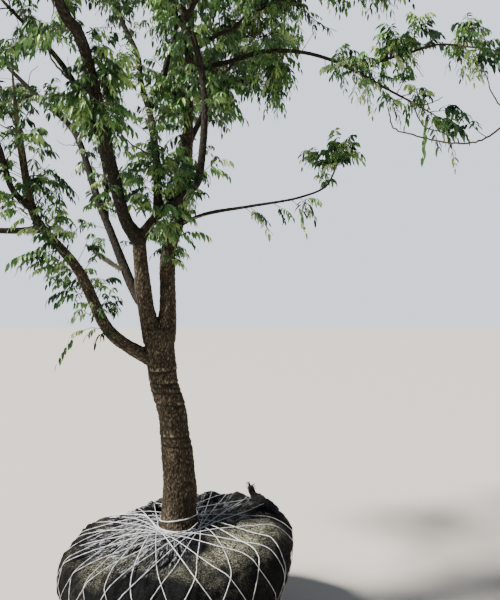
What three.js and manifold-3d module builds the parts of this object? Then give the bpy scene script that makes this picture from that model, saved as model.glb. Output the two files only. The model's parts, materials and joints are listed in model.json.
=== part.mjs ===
// A young dug-up tree standing on its wrapped root ball, with an open crown of rising boughs.
// Millimetres, +Z up. The origin is the centre of the ball's flat underside, +X is to the right
// and +Y is away from the viewer. A heading is in degrees round from +X towards +Y, and a rise is
// in degrees above level.
import * as THREE from "three";
import { mergeVertices } from "three/addons/utils/BufferGeometryUtils.js";
import Module from "manifold-3d";

const wasm = await Module();
wasm.setup();

// Root ball: dug as a bowl, flat underneath, with a nearly flat top that slopes a little.
const BALL_HEIGHT = 525;
const BALL_FOOT_RADIUS = 390;
const BALL_FLANK_RADIUS = 503;
const BALL_FLANK_HEIGHT = 130;
const BALL_BELLY_RADIUS = 556;
const BALL_BELLY_HEIGHT = 315;
const BALL_SHOULDER_RADIUS = 538;
const BALL_SHOULDER_HEIGHT = 445;
const BALL_RIM_RADIUS = 462;
const BALL_RIM_DROP = 12;
const BALL_SEAT_RADIUS = 150;
const BALL_LUMP = 7;
// Waves of lumps round the ball: how many go round, their turn, their twist with height, and
// their share of the lump.
const BALL_WAVES = [
  { lumps: 3, turn: -1.4, twist: 0, share: 1 },
  { lumps: 5, turn: 0, twist: 1 / 90, share: 1 },
  { lumps: 8, turn: 0.7, twist: -1 / 60, share: 0.8 },
];
const BALL_SLOPE_RISE = 48;
const BALL_SLOPE_HEADING = 15;
const TOP_LUMP = 0.6;
const BALL_SECTORS = 22;

// Rope ring laid round the foot of the trunk, and the gathered end of the net at the rim.
const ROPE_RADIUS = 6;
const ROPE_RING_INNER_RADIUS = 98;
const ROPE_SIDES = 5;
const ROPE_SECTORS = 16;
const KNOT_HEADING = 38;
const KNOT_REACH = 468;
const KNOT_RADIUS = 62;
const KNOT_HEIGHT = 66;
const KNOT_LEAN = 20;
const KNOT_SIDES = 9;
const KNOT_SLOPE_SHARE = 0.8;

// The trunk's foot stands a little to the right of the ball's centre.
const TRUNK_FOOT_X = 8;
const TRUNK_SIDES = 12;

// A thick bough has more sides than a thin one, and a large mass more facets than a small one.
const THICK_GIRTH = 38;
const THICK_SIDES = 7;
const THIN_SIDES = 6;
const BOUGH_STEP = 190;
const LEAST_STEPS = 3;
const TRUNK_EXTRA_STEPS = 3;
const SEAT_GAP = 0.3;
const LARGE_MASS = 690;

// A limb ends in a blunt nose, sized by its radius there.
const NOSE_WIDTH = 0.5;
const NOSE_LENGTH = 0.7;

// A mass is a core with seeded lobes, each standing out or sunk in by a share of the mass.
const MASS_CORE = 0.92;
const MASS_LOBES = 7;
const LOBE_RANGE = 0.5;
const LOBE_HOLLOW = 0.2;
const LOBE_SHARPNESS = 3;
const FIRST_SEED = 11;
const SEED_STEP = 7;

// The trunk and each bough run in a few legs, each a length, a heading and a rise. A bough leaves
// its parent at a distance along it. The girths are thicknesses: one at each end of the limb, or
// one at the end of each leg.
const LIMBS = {
  trunk: {
    girths: [194, 176, 165, 145, 141, 141, 146, 156],
    legs: [
      [80, 0, 90], [140, 0, 89], [255, 180, 84], [90, 180, 83], [140, 180, 74],
      [160, 180, 82], [120, 180, 86],
    ],
  },
  left_stem: {
    from: "trunk", along: 930, aside: -36, girths: [92, 68],
    legs: [[200, 180, 79], [245, 218, 83], [72, 270, 74]],
  },
  right_stem: {
    from: "trunk", along: 930, aside: 38, girths: [88, 84, 80, 58, 55, 52, 42, 28],
    legs: [
      [198, 98, 78], [261, 94, 81], [163, 11, 71], [262, 16, 82], [309, 0, 88],
      [480, 80, 87], [600, 60, 82],
    ],
  },
  low_left_bough: {
    from: "trunk", along: 815, girths: [68, 30],
    legs: [
      [165, 192, 26], [140, 197, 40], [325, 227, 60], [280, 214, 49], [90, 224, 71],
      [275, 250, 75],
    ],
  },
  low_left_outer_bough: {
    from: "low_left_bough", along: 970, girths: [32, 15],
    legs: [[95, 212, 39], [265, 235, 66], [380, 200, 42]],
  },
  low_left_level_bough: {
    from: "low_left_bough", along: 865, girths: [34, 15],
    legs: [[160, 187, -4], [180, 180, 6], [330, 168, 20]],
  },
  left_back_bough: {
    from: "left_stem", along: 177, girths: [52, 22],
    legs: [
      [85, 137, 31], [404, 147, 60], [188, 152, 63], [376, 152, 67], [130, 155, 55],
      [230, 163, 41], [430, 161, 43],
    ],
  },
  left_outer_back_bough: {
    from: "left_back_bough", along: 1180, girths: [26, 14],
    legs: [[240, 138, 40], [420, 160, 22]],
  },
  back_left_bough: {
    from: "left_back_bough", along: 560, girths: [32, 15],
    legs: [[280, 105, 58], [420, 118, 56], [330, 105, 50]],
  },
  left_front_bough: {
    from: "left_stem", along: 497, girths: [66, 28],
    legs: [
      [112, 234, 44], [236, 247, 63], [177, 260, 59], [395, 263, 50], [97, 234, 40],
      [430, 238, 60], [300, 250, 70],
    ],
  },
  left_front_side_bough: {
    from: "left_front_bough", along: 520, girths: [36, 15],
    legs: [
      [44, 185, 41], [117, 189, 59], [111, 200, 66], [139, 194, 54], [148, 191, 45],
      [139, 197, 44],
    ],
  },
  front_bough: {
    from: "left_front_bough", along: 1060, girths: [30, 14],
    legs: [[250, 290, 52], [400, 305, 42]],
  },
  middle_bough: {
    from: "left_stem", along: 503, girths: [46, 22],
    legs: [
      [176, 335, 44], [110, 342, 28], [122, 344, 40], [65, 341, 76], [355, 0, 87],
      [258, 212, 77], [73, 214, 61], [420, 225, 78],
    ],
  },
  middle_left_bough: {
    from: "middle_bough", along: 160, girths: [44, 20],
    legs: [
      [206, 126, 85], [328, 125, 75], [181, 143, 68], [178, 125, 74], [198, 154, 63],
      [400, 147, 66],
    ],
  },
  front_right_bough: {
    from: "middle_bough", along: 1180, girths: [26, 14],
    legs: [[240, 320, 44], [480, 305, 28]],
  },
  right_fork_bough: {
    from: "right_stem", along: 1250, girths: [34, 18],
    legs: [[150, 190, 38], [60, 265, 69], [180, 314, 62], [260, 280, 70]],
  },
  right_upper_bough: {
    from: "right_stem", along: 1520, girths: [25, 13],
    legs: [
      [208, 5, 35], [75, 18, 28], [118, 30, 47], [202, 21, 35], [179, 19, 32],
      [382, 14, 33],
    ],
  },
  right_front_bough: {
    from: "right_upper_bough", along: 690, girths: [19, 12],
    legs: [[330, 325, 12], [480, 300, -6]],
  },
  right_long_bough: {
    from: "right_stem", along: 1420, girths: [29, 11],
    legs: [
      [262, 342, 5], [142, 339, 6], [194, 345, -8], [180, 342, -23], [111, 342, -32],
      [183, 340, -37], [161, 342, -35],
    ],
  },
  right_side_bough: {
    from: "right_long_bough", along: 930, girths: [16, 10],
    legs: [[75, 343, 31], [160, 341, 10], [131, 342, 7], [112, 344, -13]],
  },
  right_low_bough: {
    from: "right_stem", along: 600, girths: [22, 10],
    legs: [[156, 346, 19], [235, 351, 8], [255, 346, 7], [136, 342, 19], [76, 345, 59]],
  },
  back_bough: {
    from: "right_stem", along: 720, girths: [36, 15],
    legs: [[260, 110, 54], [520, 82, 57], [480, 88, 50]],
  },
  back_right_bough: {
    from: "right_stem", along: 1020, girths: [34, 15],
    legs: [[300, 70, 52], [420, 60, 54], [440, 55, 50]],
  },
  top_back_bough: {
    from: "right_stem", along: 1760, girths: [28, 14],
    legs: [[240, 115, 52], [400, 125, 56]],
  },
};

// Each mass of leaves hangs on a bough at a distance along it, or at its tip, and is moved right,
// away and up from there. Its size is the width, the depth and the height. A tip mass takes in
// the end of its bough, and any other mass lies round or beside the limbs that pass it.
const MASSES = {
  low_left_top_leaves: { on: "low_left_bough", tip: true, move: [-70, -20, 90], size: [380, 340, 320] },
  low_left_outer_leaves: {
    on: "low_left_outer_bough", tip: true,
    move: [-130, -40, 60], size: [700, 620, 440],
  },
  low_left_level_leaves: {
    on: "low_left_level_bough", tip: true,
    move: [-140, 10, 0], size: [640, 560, 340],
  },
  low_left_shoot_leaves: {
    on: "low_left_bough", along: 1010,
    move: [80, -10, 60], size: [170, 180, 280],
  },
  left_back_leaves: { on: "left_back_bough", tip: true, move: [-200, 60, 150], size: [760, 680, 500] },
  left_edge_leaves: {
    on: "left_outer_back_bough", tip: true,
    move: [-120, 100, 20], size: [680, 680, 440],
  },
  back_left_leaves: { on: "back_left_bough", tip: true, move: [-60, 90, 100], size: [760, 740, 540] },
  left_front_leaves: { on: "left_front_bough", along: 640, move: [0, 20, 10], size: [380, 340, 390] },
  left_front_side_leaves: {
    on: "left_front_side_bough", tip: true,
    move: [30, 20, -40], size: [540, 500, 420],
  },
  left_front_top_leaves: {
    on: "left_front_bough", tip: true,
    move: [-60, -80, 130], size: [800, 760, 640],
  },
  front_leaves: { on: "front_bough", tip: true, move: [60, -100, 80], size: [760, 700, 520] },
  front_right_leaves: { on: "front_right_bough", tip: true, move: [80, -110, 40], size: [760, 700, 500] },
  middle_left_leaves: {
    on: "middle_left_bough", along: 800,
    move: [-96, -44, 34], size: [220, 210, 210],
  },
  middle_left_top_leaves: {
    on: "middle_left_bough", tip: true,
    move: [-90, 60, 140], size: [700, 680, 560],
  },
  middle_top_leaves: { on: "middle_bough", tip: true, move: [-80, -110, 120], size: [660, 640, 540] },
  crown_top_leaves: { on: "right_stem", tip: true, move: [30, 20, 200], size: [800, 760, 660] },
  top_back_leaves: { on: "top_back_bough", tip: true, move: [-60, 130, 90], size: [740, 700, 560] },
  centre_leaves: { on: "right_fork_bough", along: 130, move: [40, -60, -90], size: [200, 170, 280] },
  centre_high_leaves: { on: "right_fork_bough", along: 380, move: [-20, -20, 30], size: [340, 320, 320] },
  centre_top_leaves: { on: "right_fork_bough", tip: true, move: [20, -20, 90], size: [420, 400, 320] },
  centre_right_leaves: { on: "right_long_bough", along: 190, move: [0, 60, -150], size: [260, 280, 360] },
  centre_right_high_leaves: {
    on: "right_upper_bough", along: 200,
    move: [30, 20, 120], size: [380, 360, 270],
  },
  right_hanging_leaves: {
    on: "right_long_bough", along: 430,
    move: [20, 40, -150], size: [200, 200, 380],
  },
  right_upper_leaves: { on: "right_upper_bough", along: 560, move: [60, -20, 60], size: [460, 420, 320] },
  right_top_leaves: { on: "right_upper_bough", tip: true, move: [150, 60, 60], size: [760, 700, 500] },
  right_front_leaves: { on: "right_front_bough", tip: true, move: [60, -120, 10], size: [720, 680, 440] },
  right_long_high_leaves: { on: "right_side_bough", along: 235, move: [-20, 10, 36], size: [290, 250, 260] },
  right_long_leaves: { on: "right_long_bough", along: 890, move: [-25, 10, -10], size: [190, 200, 210] },
  right_tip_leaves: { on: "right_long_bough", tip: true, move: [-45, 15, 45], size: [270, 240, 220] },
  right_side_leaves: { on: "right_side_bough", tip: true, move: [25, 0, -5], size: [280, 250, 260] },
  low_right_leaves: { on: "right_low_bough", tip: true, move: [0, 0, 75], size: [270, 250, 230] },
  back_leaves: { on: "back_bough", tip: true, move: [0, 160, 40], size: [800, 740, 540] },
  back_right_leaves: { on: "back_right_bough", tip: true, move: [50, 120, 80], size: [780, 740, 560] },
};

const BARK = new THREE.MeshStandardMaterial({ color: 0x4a3f35, roughness: 0.92, metalness: 0 });
const LEAF = new THREE.MeshStandardMaterial({ color: 0x5d7a2c, roughness: 0.7, metalness: 0 });
const NET = new THREE.MeshStandardMaterial({ color: 0x33363a, roughness: 0.85, metalness: 0 });
const ROPE = new THREE.MeshStandardMaterial({ color: 0xd9dbe2, roughness: 0.6, metalness: 0 });

// A seeded run of numbers from 0 to 1.
function seeded(seed) {
  let state = seed;
  return () => {
    state = (state * 1664525 + 1013904223) % 4294967296;
    return state / 4294967296;
  };
}

// A step of a length along a heading and a rise.
function step(length, heading, rise) {
  const turn = THREE.MathUtils.degToRad(heading);
  const lift = THREE.MathUtils.degToRad(rise);
  const level = length * Math.cos(lift);
  return new THREE.Vector3(level * Math.cos(turn), level * Math.sin(turn), length * Math.sin(lift));
}

// The closed solid of a geometry, with its flat triangles left out.
function solidOf(geometry) {
  const bare = geometry.clone();
  bare.deleteAttribute("normal");
  bare.deleteAttribute("uv");
  const merged = mergeVertices(bare, 1e-3);
  const corners = merged.index.array;
  const kept = [];
  for (let i = 0; i < corners.length; i += 3) {
    const [a, b, c] = corners.slice(i, i + 3);
    if (a !== b && b !== c && c !== a) {
      kept.push(a, b, c);
    }
  }
  const vertProperties = new Float32Array(merged.attributes.position.array);
  return new wasm.Manifold(new wasm.Mesh({ numProp: 3, vertProperties, triVerts: new Uint32Array(kept) }));
}

function geometryOf(solid) {
  const mesh = solid.getMesh();
  const geometry = new THREE.BufferGeometry();
  geometry.setAttribute("position", new THREE.BufferAttribute(mesh.vertProperties, 3));
  geometry.setIndex(new THREE.BufferAttribute(mesh.triVerts, 1));
  geometry.computeVertexNormals();
  return geometry;
}

// The largest piece of a solid, once what its neighbours fill is cut away.
function cutClear(solid, neighbours) {
  let rest = solid;
  for (const neighbour of neighbours) {
    rest = rest.subtract(neighbour);
  }
  return rest.decompose().reduce((largest, piece) => (piece.volume() > largest.volume() ? piece : largest));
}

// A limb's smooth centre line from its foot, and its length.
function centreLine(foot, legs) {
  const points = [foot.clone()];
  for (const [length, heading, rise] of legs) {
    points.push(points.at(-1).clone().add(step(length, heading, rise)));
  }
  return new THREE.CatmullRomCurve3(points, false, "centripetal");
}

// Half the thickness of a limb at a share of its length.
function radiusAt(limb, share) {
  const total = limb.legs.reduce((sum, [length]) => sum + length, 0);
  const ends = [0];
  for (const [length] of limb.legs) {
    ends.push(ends.at(-1) + length / total);
  }
  const { girths } = limb;
  if (girths.length === 2) {
    return THREE.MathUtils.lerp(girths[0], girths[1], share) / 2;
  }
  const leg = Math.max(0, Math.min(limb.legs.length - 1, ends.findIndex((end) => end >= share) - 1));
  const local = THREE.MathUtils.clamp((share - ends[leg]) / (ends[leg + 1] - ends[leg]), 0, 1);
  return THREE.MathUtils.lerp(girths[leg], girths[leg + 1], local) / 2;
}

// A limb as a cylinder bent along its centre line, swollen by a margin, with a blunt nose.
function limbGeometry(limb, margin) {
  const steps = Math.max(LEAST_STEPS, Math.round(limb.curve.getLength() / BOUGH_STEP)) + limb.extraSteps;
  const geometry = new THREE.CylinderGeometry(1, 1, 1, limb.sides, steps + 1);
  const frames = limb.curve.computeFrenetFrames(steps, false);
  const position = geometry.attributes.position;
  const vertex = new THREE.Vector3();
  for (let i = 0; i < position.count; i += 1) {
    vertex.fromBufferAttribute(position, i);
    const row = Math.round((vertex.y + 0.5) * (steps + 1));
    const ring = Math.min(row, steps);
    const radius = radiusAt(limb, ring / steps);
    const nose = row > steps;
    const spread = (nose ? NOSE_WIDTH : 1) * radius + margin;
    const noseReach = nose ? NOSE_LENGTH * radius + margin : 0;
    const centre = limb.curve.getPointAt(ring / steps);
    centre.addScaledVector(frames.tangents[ring], row === 0 ? -margin : noseReach);
    centre.addScaledVector(frames.normals[ring], vertex.z * spread);
    centre.addScaledVector(frames.binormals[ring], vertex.x * spread);
    const levelCut = row === 0 && !limb.from;
    position.setXYZ(i, centre.x, centre.y, levelCut ? BALL_HEIGHT + SEAT_GAP : centre.z);
  }
  return geometry;
}

// An uneven mass of leaves: a ball of facets with seeded lobes and hollows.
function massGeometry(mass, margin) {
  const random = seeded(mass.seed);
  const lobes = [];
  for (let i = 0; i < MASS_LOBES; i += 1) {
    const direction = new THREE.Vector3(random() - 0.5, random() - 0.5, random() - 0.5).normalize();
    lobes.push({ direction, height: LOBE_RANGE * random() - LOBE_HOLLOW });
  }
  const detail = Math.max(...mass.size) > LARGE_MASS ? 2 : 1;
  const geometry = new THREE.IcosahedronGeometry(1, detail);
  const position = geometry.attributes.position;
  const vertex = new THREE.Vector3();
  for (let i = 0; i < position.count; i += 1) {
    vertex.fromBufferAttribute(position, i).normalize();
    let reach = MASS_CORE;
    for (const { direction, height } of lobes) {
      reach += height * Math.max(0, vertex.dot(direction)) ** LOBE_SHARPNESS;
    }
    const [width, depth, height] = mass.size.map((side) => (side / 2) * reach + margin);
    vertex.multiply(new THREE.Vector3(width, depth, height)).add(mass.centre);
    position.setXYZ(i, vertex.x, vertex.y, vertex.z);
  }
  return geometry;
}

// The root ball turned from its outline, then made lumpy everywhere but under it and at the seat.
function ballGeometry(margin) {
  const outline = new THREE.Path();
  outline.moveTo(0, 0);
  outline.lineTo(BALL_FOOT_RADIUS, 0);
  outline.splineThru([
    new THREE.Vector2(BALL_FLANK_RADIUS, BALL_FLANK_HEIGHT),
    new THREE.Vector2(BALL_BELLY_RADIUS, BALL_BELLY_HEIGHT),
    new THREE.Vector2(BALL_SHOULDER_RADIUS, BALL_SHOULDER_HEIGHT),
    new THREE.Vector2(BALL_RIM_RADIUS, BALL_HEIGHT - BALL_RIM_DROP),
    new THREE.Vector2(BALL_SEAT_RADIUS, BALL_HEIGHT),
  ]);
  outline.lineTo(0, BALL_HEIGHT);
  const geometry = new THREE.LatheGeometry(outline.getPoints(2), BALL_SECTORS);
  geometry.rotateX(Math.PI / 2);
  const position = geometry.attributes.position;
  for (let i = 0; i < position.count; i += 1) {
    const x = position.getX(i);
    const y = position.getY(i);
    const z = position.getZ(i);
    const radius = Math.hypot(x, y);
    const turn = Math.atan2(y, x);
    let wave = 0;
    for (const { lumps, turn: start, twist, share: part } of BALL_WAVES) {
      wave += part * Math.sin(lumps * turn + start + twist * z);
    }
    const outer = THREE.MathUtils.smoothstep(radius, BALL_SEAT_RADIUS, BALL_RIM_RADIUS);
    const swell = BALL_LUMP * wave * outer;
    const stretch = radius > 0 ? (radius + swell + margin) / radius : 1;
    const slope = BALL_SLOPE_RISE * Math.cos(turn - THREE.MathUtils.degToRad(BALL_SLOPE_HEADING)) * outer;
    const share = z / BALL_HEIGHT;
    const lift = share * slope + TOP_LUMP * swell * share ** 3 + (share > 0.5 ? margin : 0);
    position.setXYZ(i, x * stretch, y * stretch, z + lift);
  }
  return geometry;
}

const tree = new THREE.Group();

function addPiece(name, solid, place, material) {
  const geometry = geometryOf(solid);
  geometry.translate(-place.x, -place.y, -place.z);
  const mesh = new THREE.Mesh(geometry, material);
  mesh.name = name;
  mesh.position.copy(place);
  tree.add(mesh);
}

addPiece("root_ball", solidOf(ballGeometry(0)), new THREE.Vector3(), NET);

// The knot of gathered net is a leaning cone seated on the ball's rim.
const knotPlace = step(KNOT_REACH, KNOT_HEADING, 0).setZ(BALL_HEIGHT + KNOT_SLOPE_SHARE * BALL_SLOPE_RISE);
const knot = new THREE.ConeGeometry(KNOT_RADIUS, KNOT_HEIGHT + KNOT_RADIUS, KNOT_SIDES, 3);
knot.rotateX(Math.PI / 2 - THREE.MathUtils.degToRad(KNOT_LEAN));
knot.translate(knotPlace.x, knotPlace.y, knotPlace.z + (KNOT_HEIGHT - KNOT_RADIUS) / 2);
addPiece("net_knot", cutClear(solidOf(knot), [solidOf(ballGeometry(SEAT_GAP))]), knotPlace, NET);

const ringRadius = ROPE_RING_INNER_RADIUS + ROPE_RADIUS;
const ring = new THREE.TorusGeometry(ringRadius, ROPE_RADIUS, ROPE_SIDES, ROPE_SECTORS);
const ringPlace = new THREE.Vector3(TRUNK_FOOT_X, 0, BALL_HEIGHT + SEAT_GAP + ROPE_RADIUS);
const ringMesh = new THREE.Mesh(ring, ROPE);
ringMesh.name = "rope_ring";
ringMesh.position.copy(ringPlace);
tree.add(ringMesh);

// Every limb starts on its parent's centre line, and is then cut back to the skin of the others.
const limbs = {};
for (const [name, sizes] of Object.entries(LIMBS)) {
  const parent = limbs[sizes.from];
  const foot = parent
    ? parent.curve.getPointAt(sizes.along / parent.curve.getLength())
    : new THREE.Vector3(TRUNK_FOOT_X, 0, BALL_HEIGHT + SEAT_GAP);
  foot.x += sizes.aside ?? 0;
  const boughSides = sizes.girths[0] > THICK_GIRTH ? THICK_SIDES : THIN_SIDES;
  const sides = parent ? boughSides : TRUNK_SIDES;
  const extraSteps = parent ? 0 : TRUNK_EXTRA_STEPS;
  limbs[name] = { ...sizes, name, curve: centreLine(foot, sizes.legs), sides, extraSteps };
}

// Each mass hangs on its bough, and is then cut back from the limbs that pass through it.
const masses = {};
let seed = FIRST_SEED;
for (const [name, sizes] of Object.entries(MASSES)) {
  const { curve } = limbs[sizes.on];
  const centre = curve.getPointAt(sizes.tip ? 1 : sizes.along / curve.getLength());
  centre.add(new THREE.Vector3(...sizes.move));
  masses[name] = { ...sizes, name, centre, seed };
  seed += SEED_STEP;
}

const built = [];
for (const limb of Object.values(limbs)) {
  const tips = Object.values(masses).filter((mass) => mass.tip && mass.on === limb.name);
  const cutters = [...built, ...tips.map((mass) => solidOf(massGeometry(mass, SEAT_GAP)))];
  const solid = cutClear(solidOf(limbGeometry(limb, 0)), cutters);
  addPiece(limb.name, solid, limb.curve.getPointAt(0), BARK);
  built.push(solidOf(limbGeometry(limb, SEAT_GAP)));
}
const hung = [];
for (const mass of Object.values(masses)) {
  const others = Object.values(limbs).filter((limb) => !(mass.tip && mass.on === limb.name));
  const cutters = others.map((limb) => solidOf(limbGeometry(limb, SEAT_GAP)));
  const solid = cutClear(solidOf(massGeometry(mass, 0)), [...cutters, ...hung]);
  addPiece(mass.name, solid, mass.centre, LEAF);
  hung.push(solidOf(massGeometry(mass, SEAT_GAP)));
}

export default tree;
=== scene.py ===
import itertools
import json
import math

import bpy
import numpy as np
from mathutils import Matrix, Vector
from mathutils.bvhtree import BVHTree
from mathutils.kdtree import KDTree

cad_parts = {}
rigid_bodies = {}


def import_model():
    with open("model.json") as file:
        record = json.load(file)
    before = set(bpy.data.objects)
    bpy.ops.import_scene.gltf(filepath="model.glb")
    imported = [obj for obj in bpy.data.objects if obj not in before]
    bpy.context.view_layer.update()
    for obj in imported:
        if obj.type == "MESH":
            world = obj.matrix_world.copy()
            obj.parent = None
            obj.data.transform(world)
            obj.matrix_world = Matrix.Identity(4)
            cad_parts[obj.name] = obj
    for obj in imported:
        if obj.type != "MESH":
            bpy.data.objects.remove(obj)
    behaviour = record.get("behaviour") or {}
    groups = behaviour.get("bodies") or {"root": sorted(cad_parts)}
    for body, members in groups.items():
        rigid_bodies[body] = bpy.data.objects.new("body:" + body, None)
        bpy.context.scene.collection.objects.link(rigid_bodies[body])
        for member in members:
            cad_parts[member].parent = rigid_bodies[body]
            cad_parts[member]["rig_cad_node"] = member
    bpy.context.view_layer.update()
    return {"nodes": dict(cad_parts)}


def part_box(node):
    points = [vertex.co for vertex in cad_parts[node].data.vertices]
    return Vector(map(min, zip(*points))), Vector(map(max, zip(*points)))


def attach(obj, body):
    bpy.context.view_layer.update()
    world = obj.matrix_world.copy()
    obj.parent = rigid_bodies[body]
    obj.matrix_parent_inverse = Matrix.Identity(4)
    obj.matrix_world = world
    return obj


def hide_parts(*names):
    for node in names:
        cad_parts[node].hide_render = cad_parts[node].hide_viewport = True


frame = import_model()
bpy.ops.object.select_all(action="DESELECT")

# Camera
# The tree is seen from about eye height, a little to the right of the trunk and two and a half
# metres from it, through a phone's normal lens that is tipped up two degrees.
EYE = (0.355, -2.58, 1.55)
TIP_UP = math.radians(2.0)
LENS = 31.2
SENSOR = 36
PHOTO_SIZE = (500, 600)
VIEW_END = 300
bpy.ops.object.camera_add(location=EYE, rotation=(math.pi / 2 + TIP_UP, 0, 0))
camera = bpy.context.object
camera.name = "camera"
camera.data.lens = LENS
camera.data.clip_end = VIEW_END
bpy.context.scene.camera = camera

# Trunk and boughs
# Green wood under rough, finely fissured bark. The trunk leans and bends, parts into two stems at
# 1.4 m, and each stem parts into long rising boughs. Old tie marks ring the trunk.
TRUNK_FOOT = (0.008, 0.0, 0.5253)
LIMB_STEP = 0.012
CURVE_STEPS = 24
STEMS_ASIDE = {"left_stem": -0.036, "right_stem": 0.038}
# For each limb: the one it leaves, at what length along that, its girths at its two ends or at the
# ends of all its legs, and the legs. A leg is a length, and a heading and a rise in degrees.
LIMBS = {
    "trunk": (
        None, 0, (0.194, 0.176, 0.165, 0.145, 0.141, 0.141, 0.146, 0.156),
        (
            (0.080, 0, 90), (0.140, 0, 89), (0.255, 180, 84), (0.090, 180, 83), (0.140, 180, 74),
            (0.160, 180, 82), (0.120, 180, 86),
        ),
    ),
    "left_stem": (
        "trunk", 0.930, (0.092, 0.068),
        ((0.200, 180, 79), (0.245, 218, 83), (0.072, 270, 74)),
    ),
    "right_stem": (
        "trunk", 0.930,
        (0.088, 0.084, 0.080, 0.058, 0.055, 0.052, 0.042, 0.028),
        (
            (0.198, 98, 78), (0.261, 94, 81), (0.163, 11, 71), (0.262, 16, 82), (0.309, 0, 88),
            (0.480, 80, 87), (0.600, 60, 82),
        ),
    ),
    "low_left_bough": (
        "trunk", 0.815, (0.068, 0.030),
        (
            (0.165, 192, 26), (0.140, 197, 40), (0.325, 227, 60), (0.280, 214, 49), (0.090, 224, 71),
            (0.275, 250, 75),
        ),
    ),
    "low_left_outer_bough": (
        "low_left_bough", 0.970, (0.032, 0.015),
        ((0.095, 212, 39), (0.265, 235, 66), (0.380, 200, 42)),
    ),
    "low_left_level_bough": (
        "low_left_bough", 0.865, (0.034, 0.015),
        ((0.160, 187, -4), (0.180, 180, 6), (0.330, 168, 20)),
    ),
    "left_back_bough": (
        "left_stem", 0.177, (0.052, 0.022),
        (
            (0.085, 137, 31), (0.404, 147, 60), (0.188, 152, 63), (0.376, 152, 67), (0.130, 155, 55),
            (0.230, 163, 41), (0.430, 161, 43),
        ),
    ),
    "left_outer_back_bough": (
        "left_back_bough", 1.180, (0.026, 0.014),
        ((0.240, 138, 40), (0.420, 160, 22)),
    ),
    "back_left_bough": (
        "left_back_bough", 0.560, (0.032, 0.015),
        ((0.280, 105, 58), (0.420, 118, 56), (0.330, 105, 50)),
    ),
    "left_front_bough": (
        "left_stem", 0.497, (0.066, 0.028),
        (
            (0.112, 234, 44), (0.236, 247, 63), (0.177, 260, 59), (0.395, 263, 50), (0.097, 234, 40),
            (0.430, 238, 60), (0.300, 250, 70),
        ),
    ),
    "left_front_side_bough": (
        "left_front_bough", 0.520, (0.036, 0.015),
        (
            (0.044, 185, 41), (0.117, 189, 59), (0.111, 200, 66), (0.139, 194, 54), (0.148, 191, 45),
            (0.139, 197, 44),
        ),
    ),
    "front_bough": (
        "left_front_bough", 1.060, (0.030, 0.014),
        ((0.250, 290, 52), (0.400, 305, 42)),
    ),
    "middle_bough": (
        "left_stem", 0.503, (0.046, 0.022),
        (
            (0.176, 335, 44), (0.110, 342, 28), (0.122, 344, 40), (0.065, 341, 76), (0.355, 0, 87),
            (0.258, 212, 77), (0.073, 214, 61), (0.420, 225, 78),
        ),
    ),
    "middle_left_bough": (
        "middle_bough", 0.160, (0.044, 0.020),
        (
            (0.206, 126, 85), (0.328, 125, 75), (0.181, 143, 68), (0.178, 125, 74), (0.198, 154, 63),
            (0.400, 147, 66),
        ),
    ),
    "front_right_bough": (
        "middle_bough", 1.180, (0.026, 0.014),
        ((0.240, 320, 44), (0.480, 305, 28)),
    ),
    "right_fork_bough": (
        "right_stem", 1.250, (0.034, 0.018),
        ((0.150, 190, 38), (0.060, 265, 69), (0.180, 314, 62), (0.260, 280, 70)),
    ),
    "right_upper_bough": (
        "right_stem", 1.520, (0.025, 0.013),
        (
            (0.208, 5, 35), (0.075, 18, 28), (0.118, 30, 47), (0.202, 21, 35), (0.179, 19, 32),
            (0.382, 14, 33),
        ),
    ),
    "right_front_bough": (
        "right_upper_bough", 0.690, (0.019, 0.012),
        ((0.330, 325, 12), (0.480, 300, -6)),
    ),
    "right_long_bough": (
        "right_stem", 1.420, (0.029, 0.011),
        (
            (0.262, 342, 5), (0.142, 339, 6), (0.194, 345, -8), (0.180, 342, -23), (0.111, 342, -32),
            (0.183, 340, -37), (0.161, 342, -35),
        ),
    ),
    "right_side_bough": (
        "right_long_bough", 0.930, (0.016, 0.010),
        ((0.075, 343, 31), (0.160, 341, 10), (0.131, 342, 7), (0.112, 344, -13)),
    ),
    "right_low_bough": (
        "right_stem", 0.600, (0.022, 0.010),
        (
            (0.156, 346, 19), (0.235, 351, 8), (0.255, 346, 7), (0.136, 342, 19), (0.076, 345, 59),
        ),
    ),
    "back_bough": (
        "right_stem", 0.720, (0.036, 0.015),
        ((0.260, 110, 54), (0.520, 82, 57), (0.480, 88, 50)),
    ),
    "back_right_bough": (
        "right_stem", 1.020, (0.034, 0.015),
        ((0.300, 70, 52), (0.420, 60, 54), (0.440, 55, 50)),
    ),
    "top_back_bough": (
        "right_stem", 1.760, (0.028, 0.014),
        ((0.240, 115, 52), (0.400, 125, 56)),
    ),
}


def unit(vectors):
    """Vectors scaled to a length of one."""
    return vectors / np.maximum(np.linalg.norm(vectors, axis=-1, keepdims=True), 1e-9)


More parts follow.
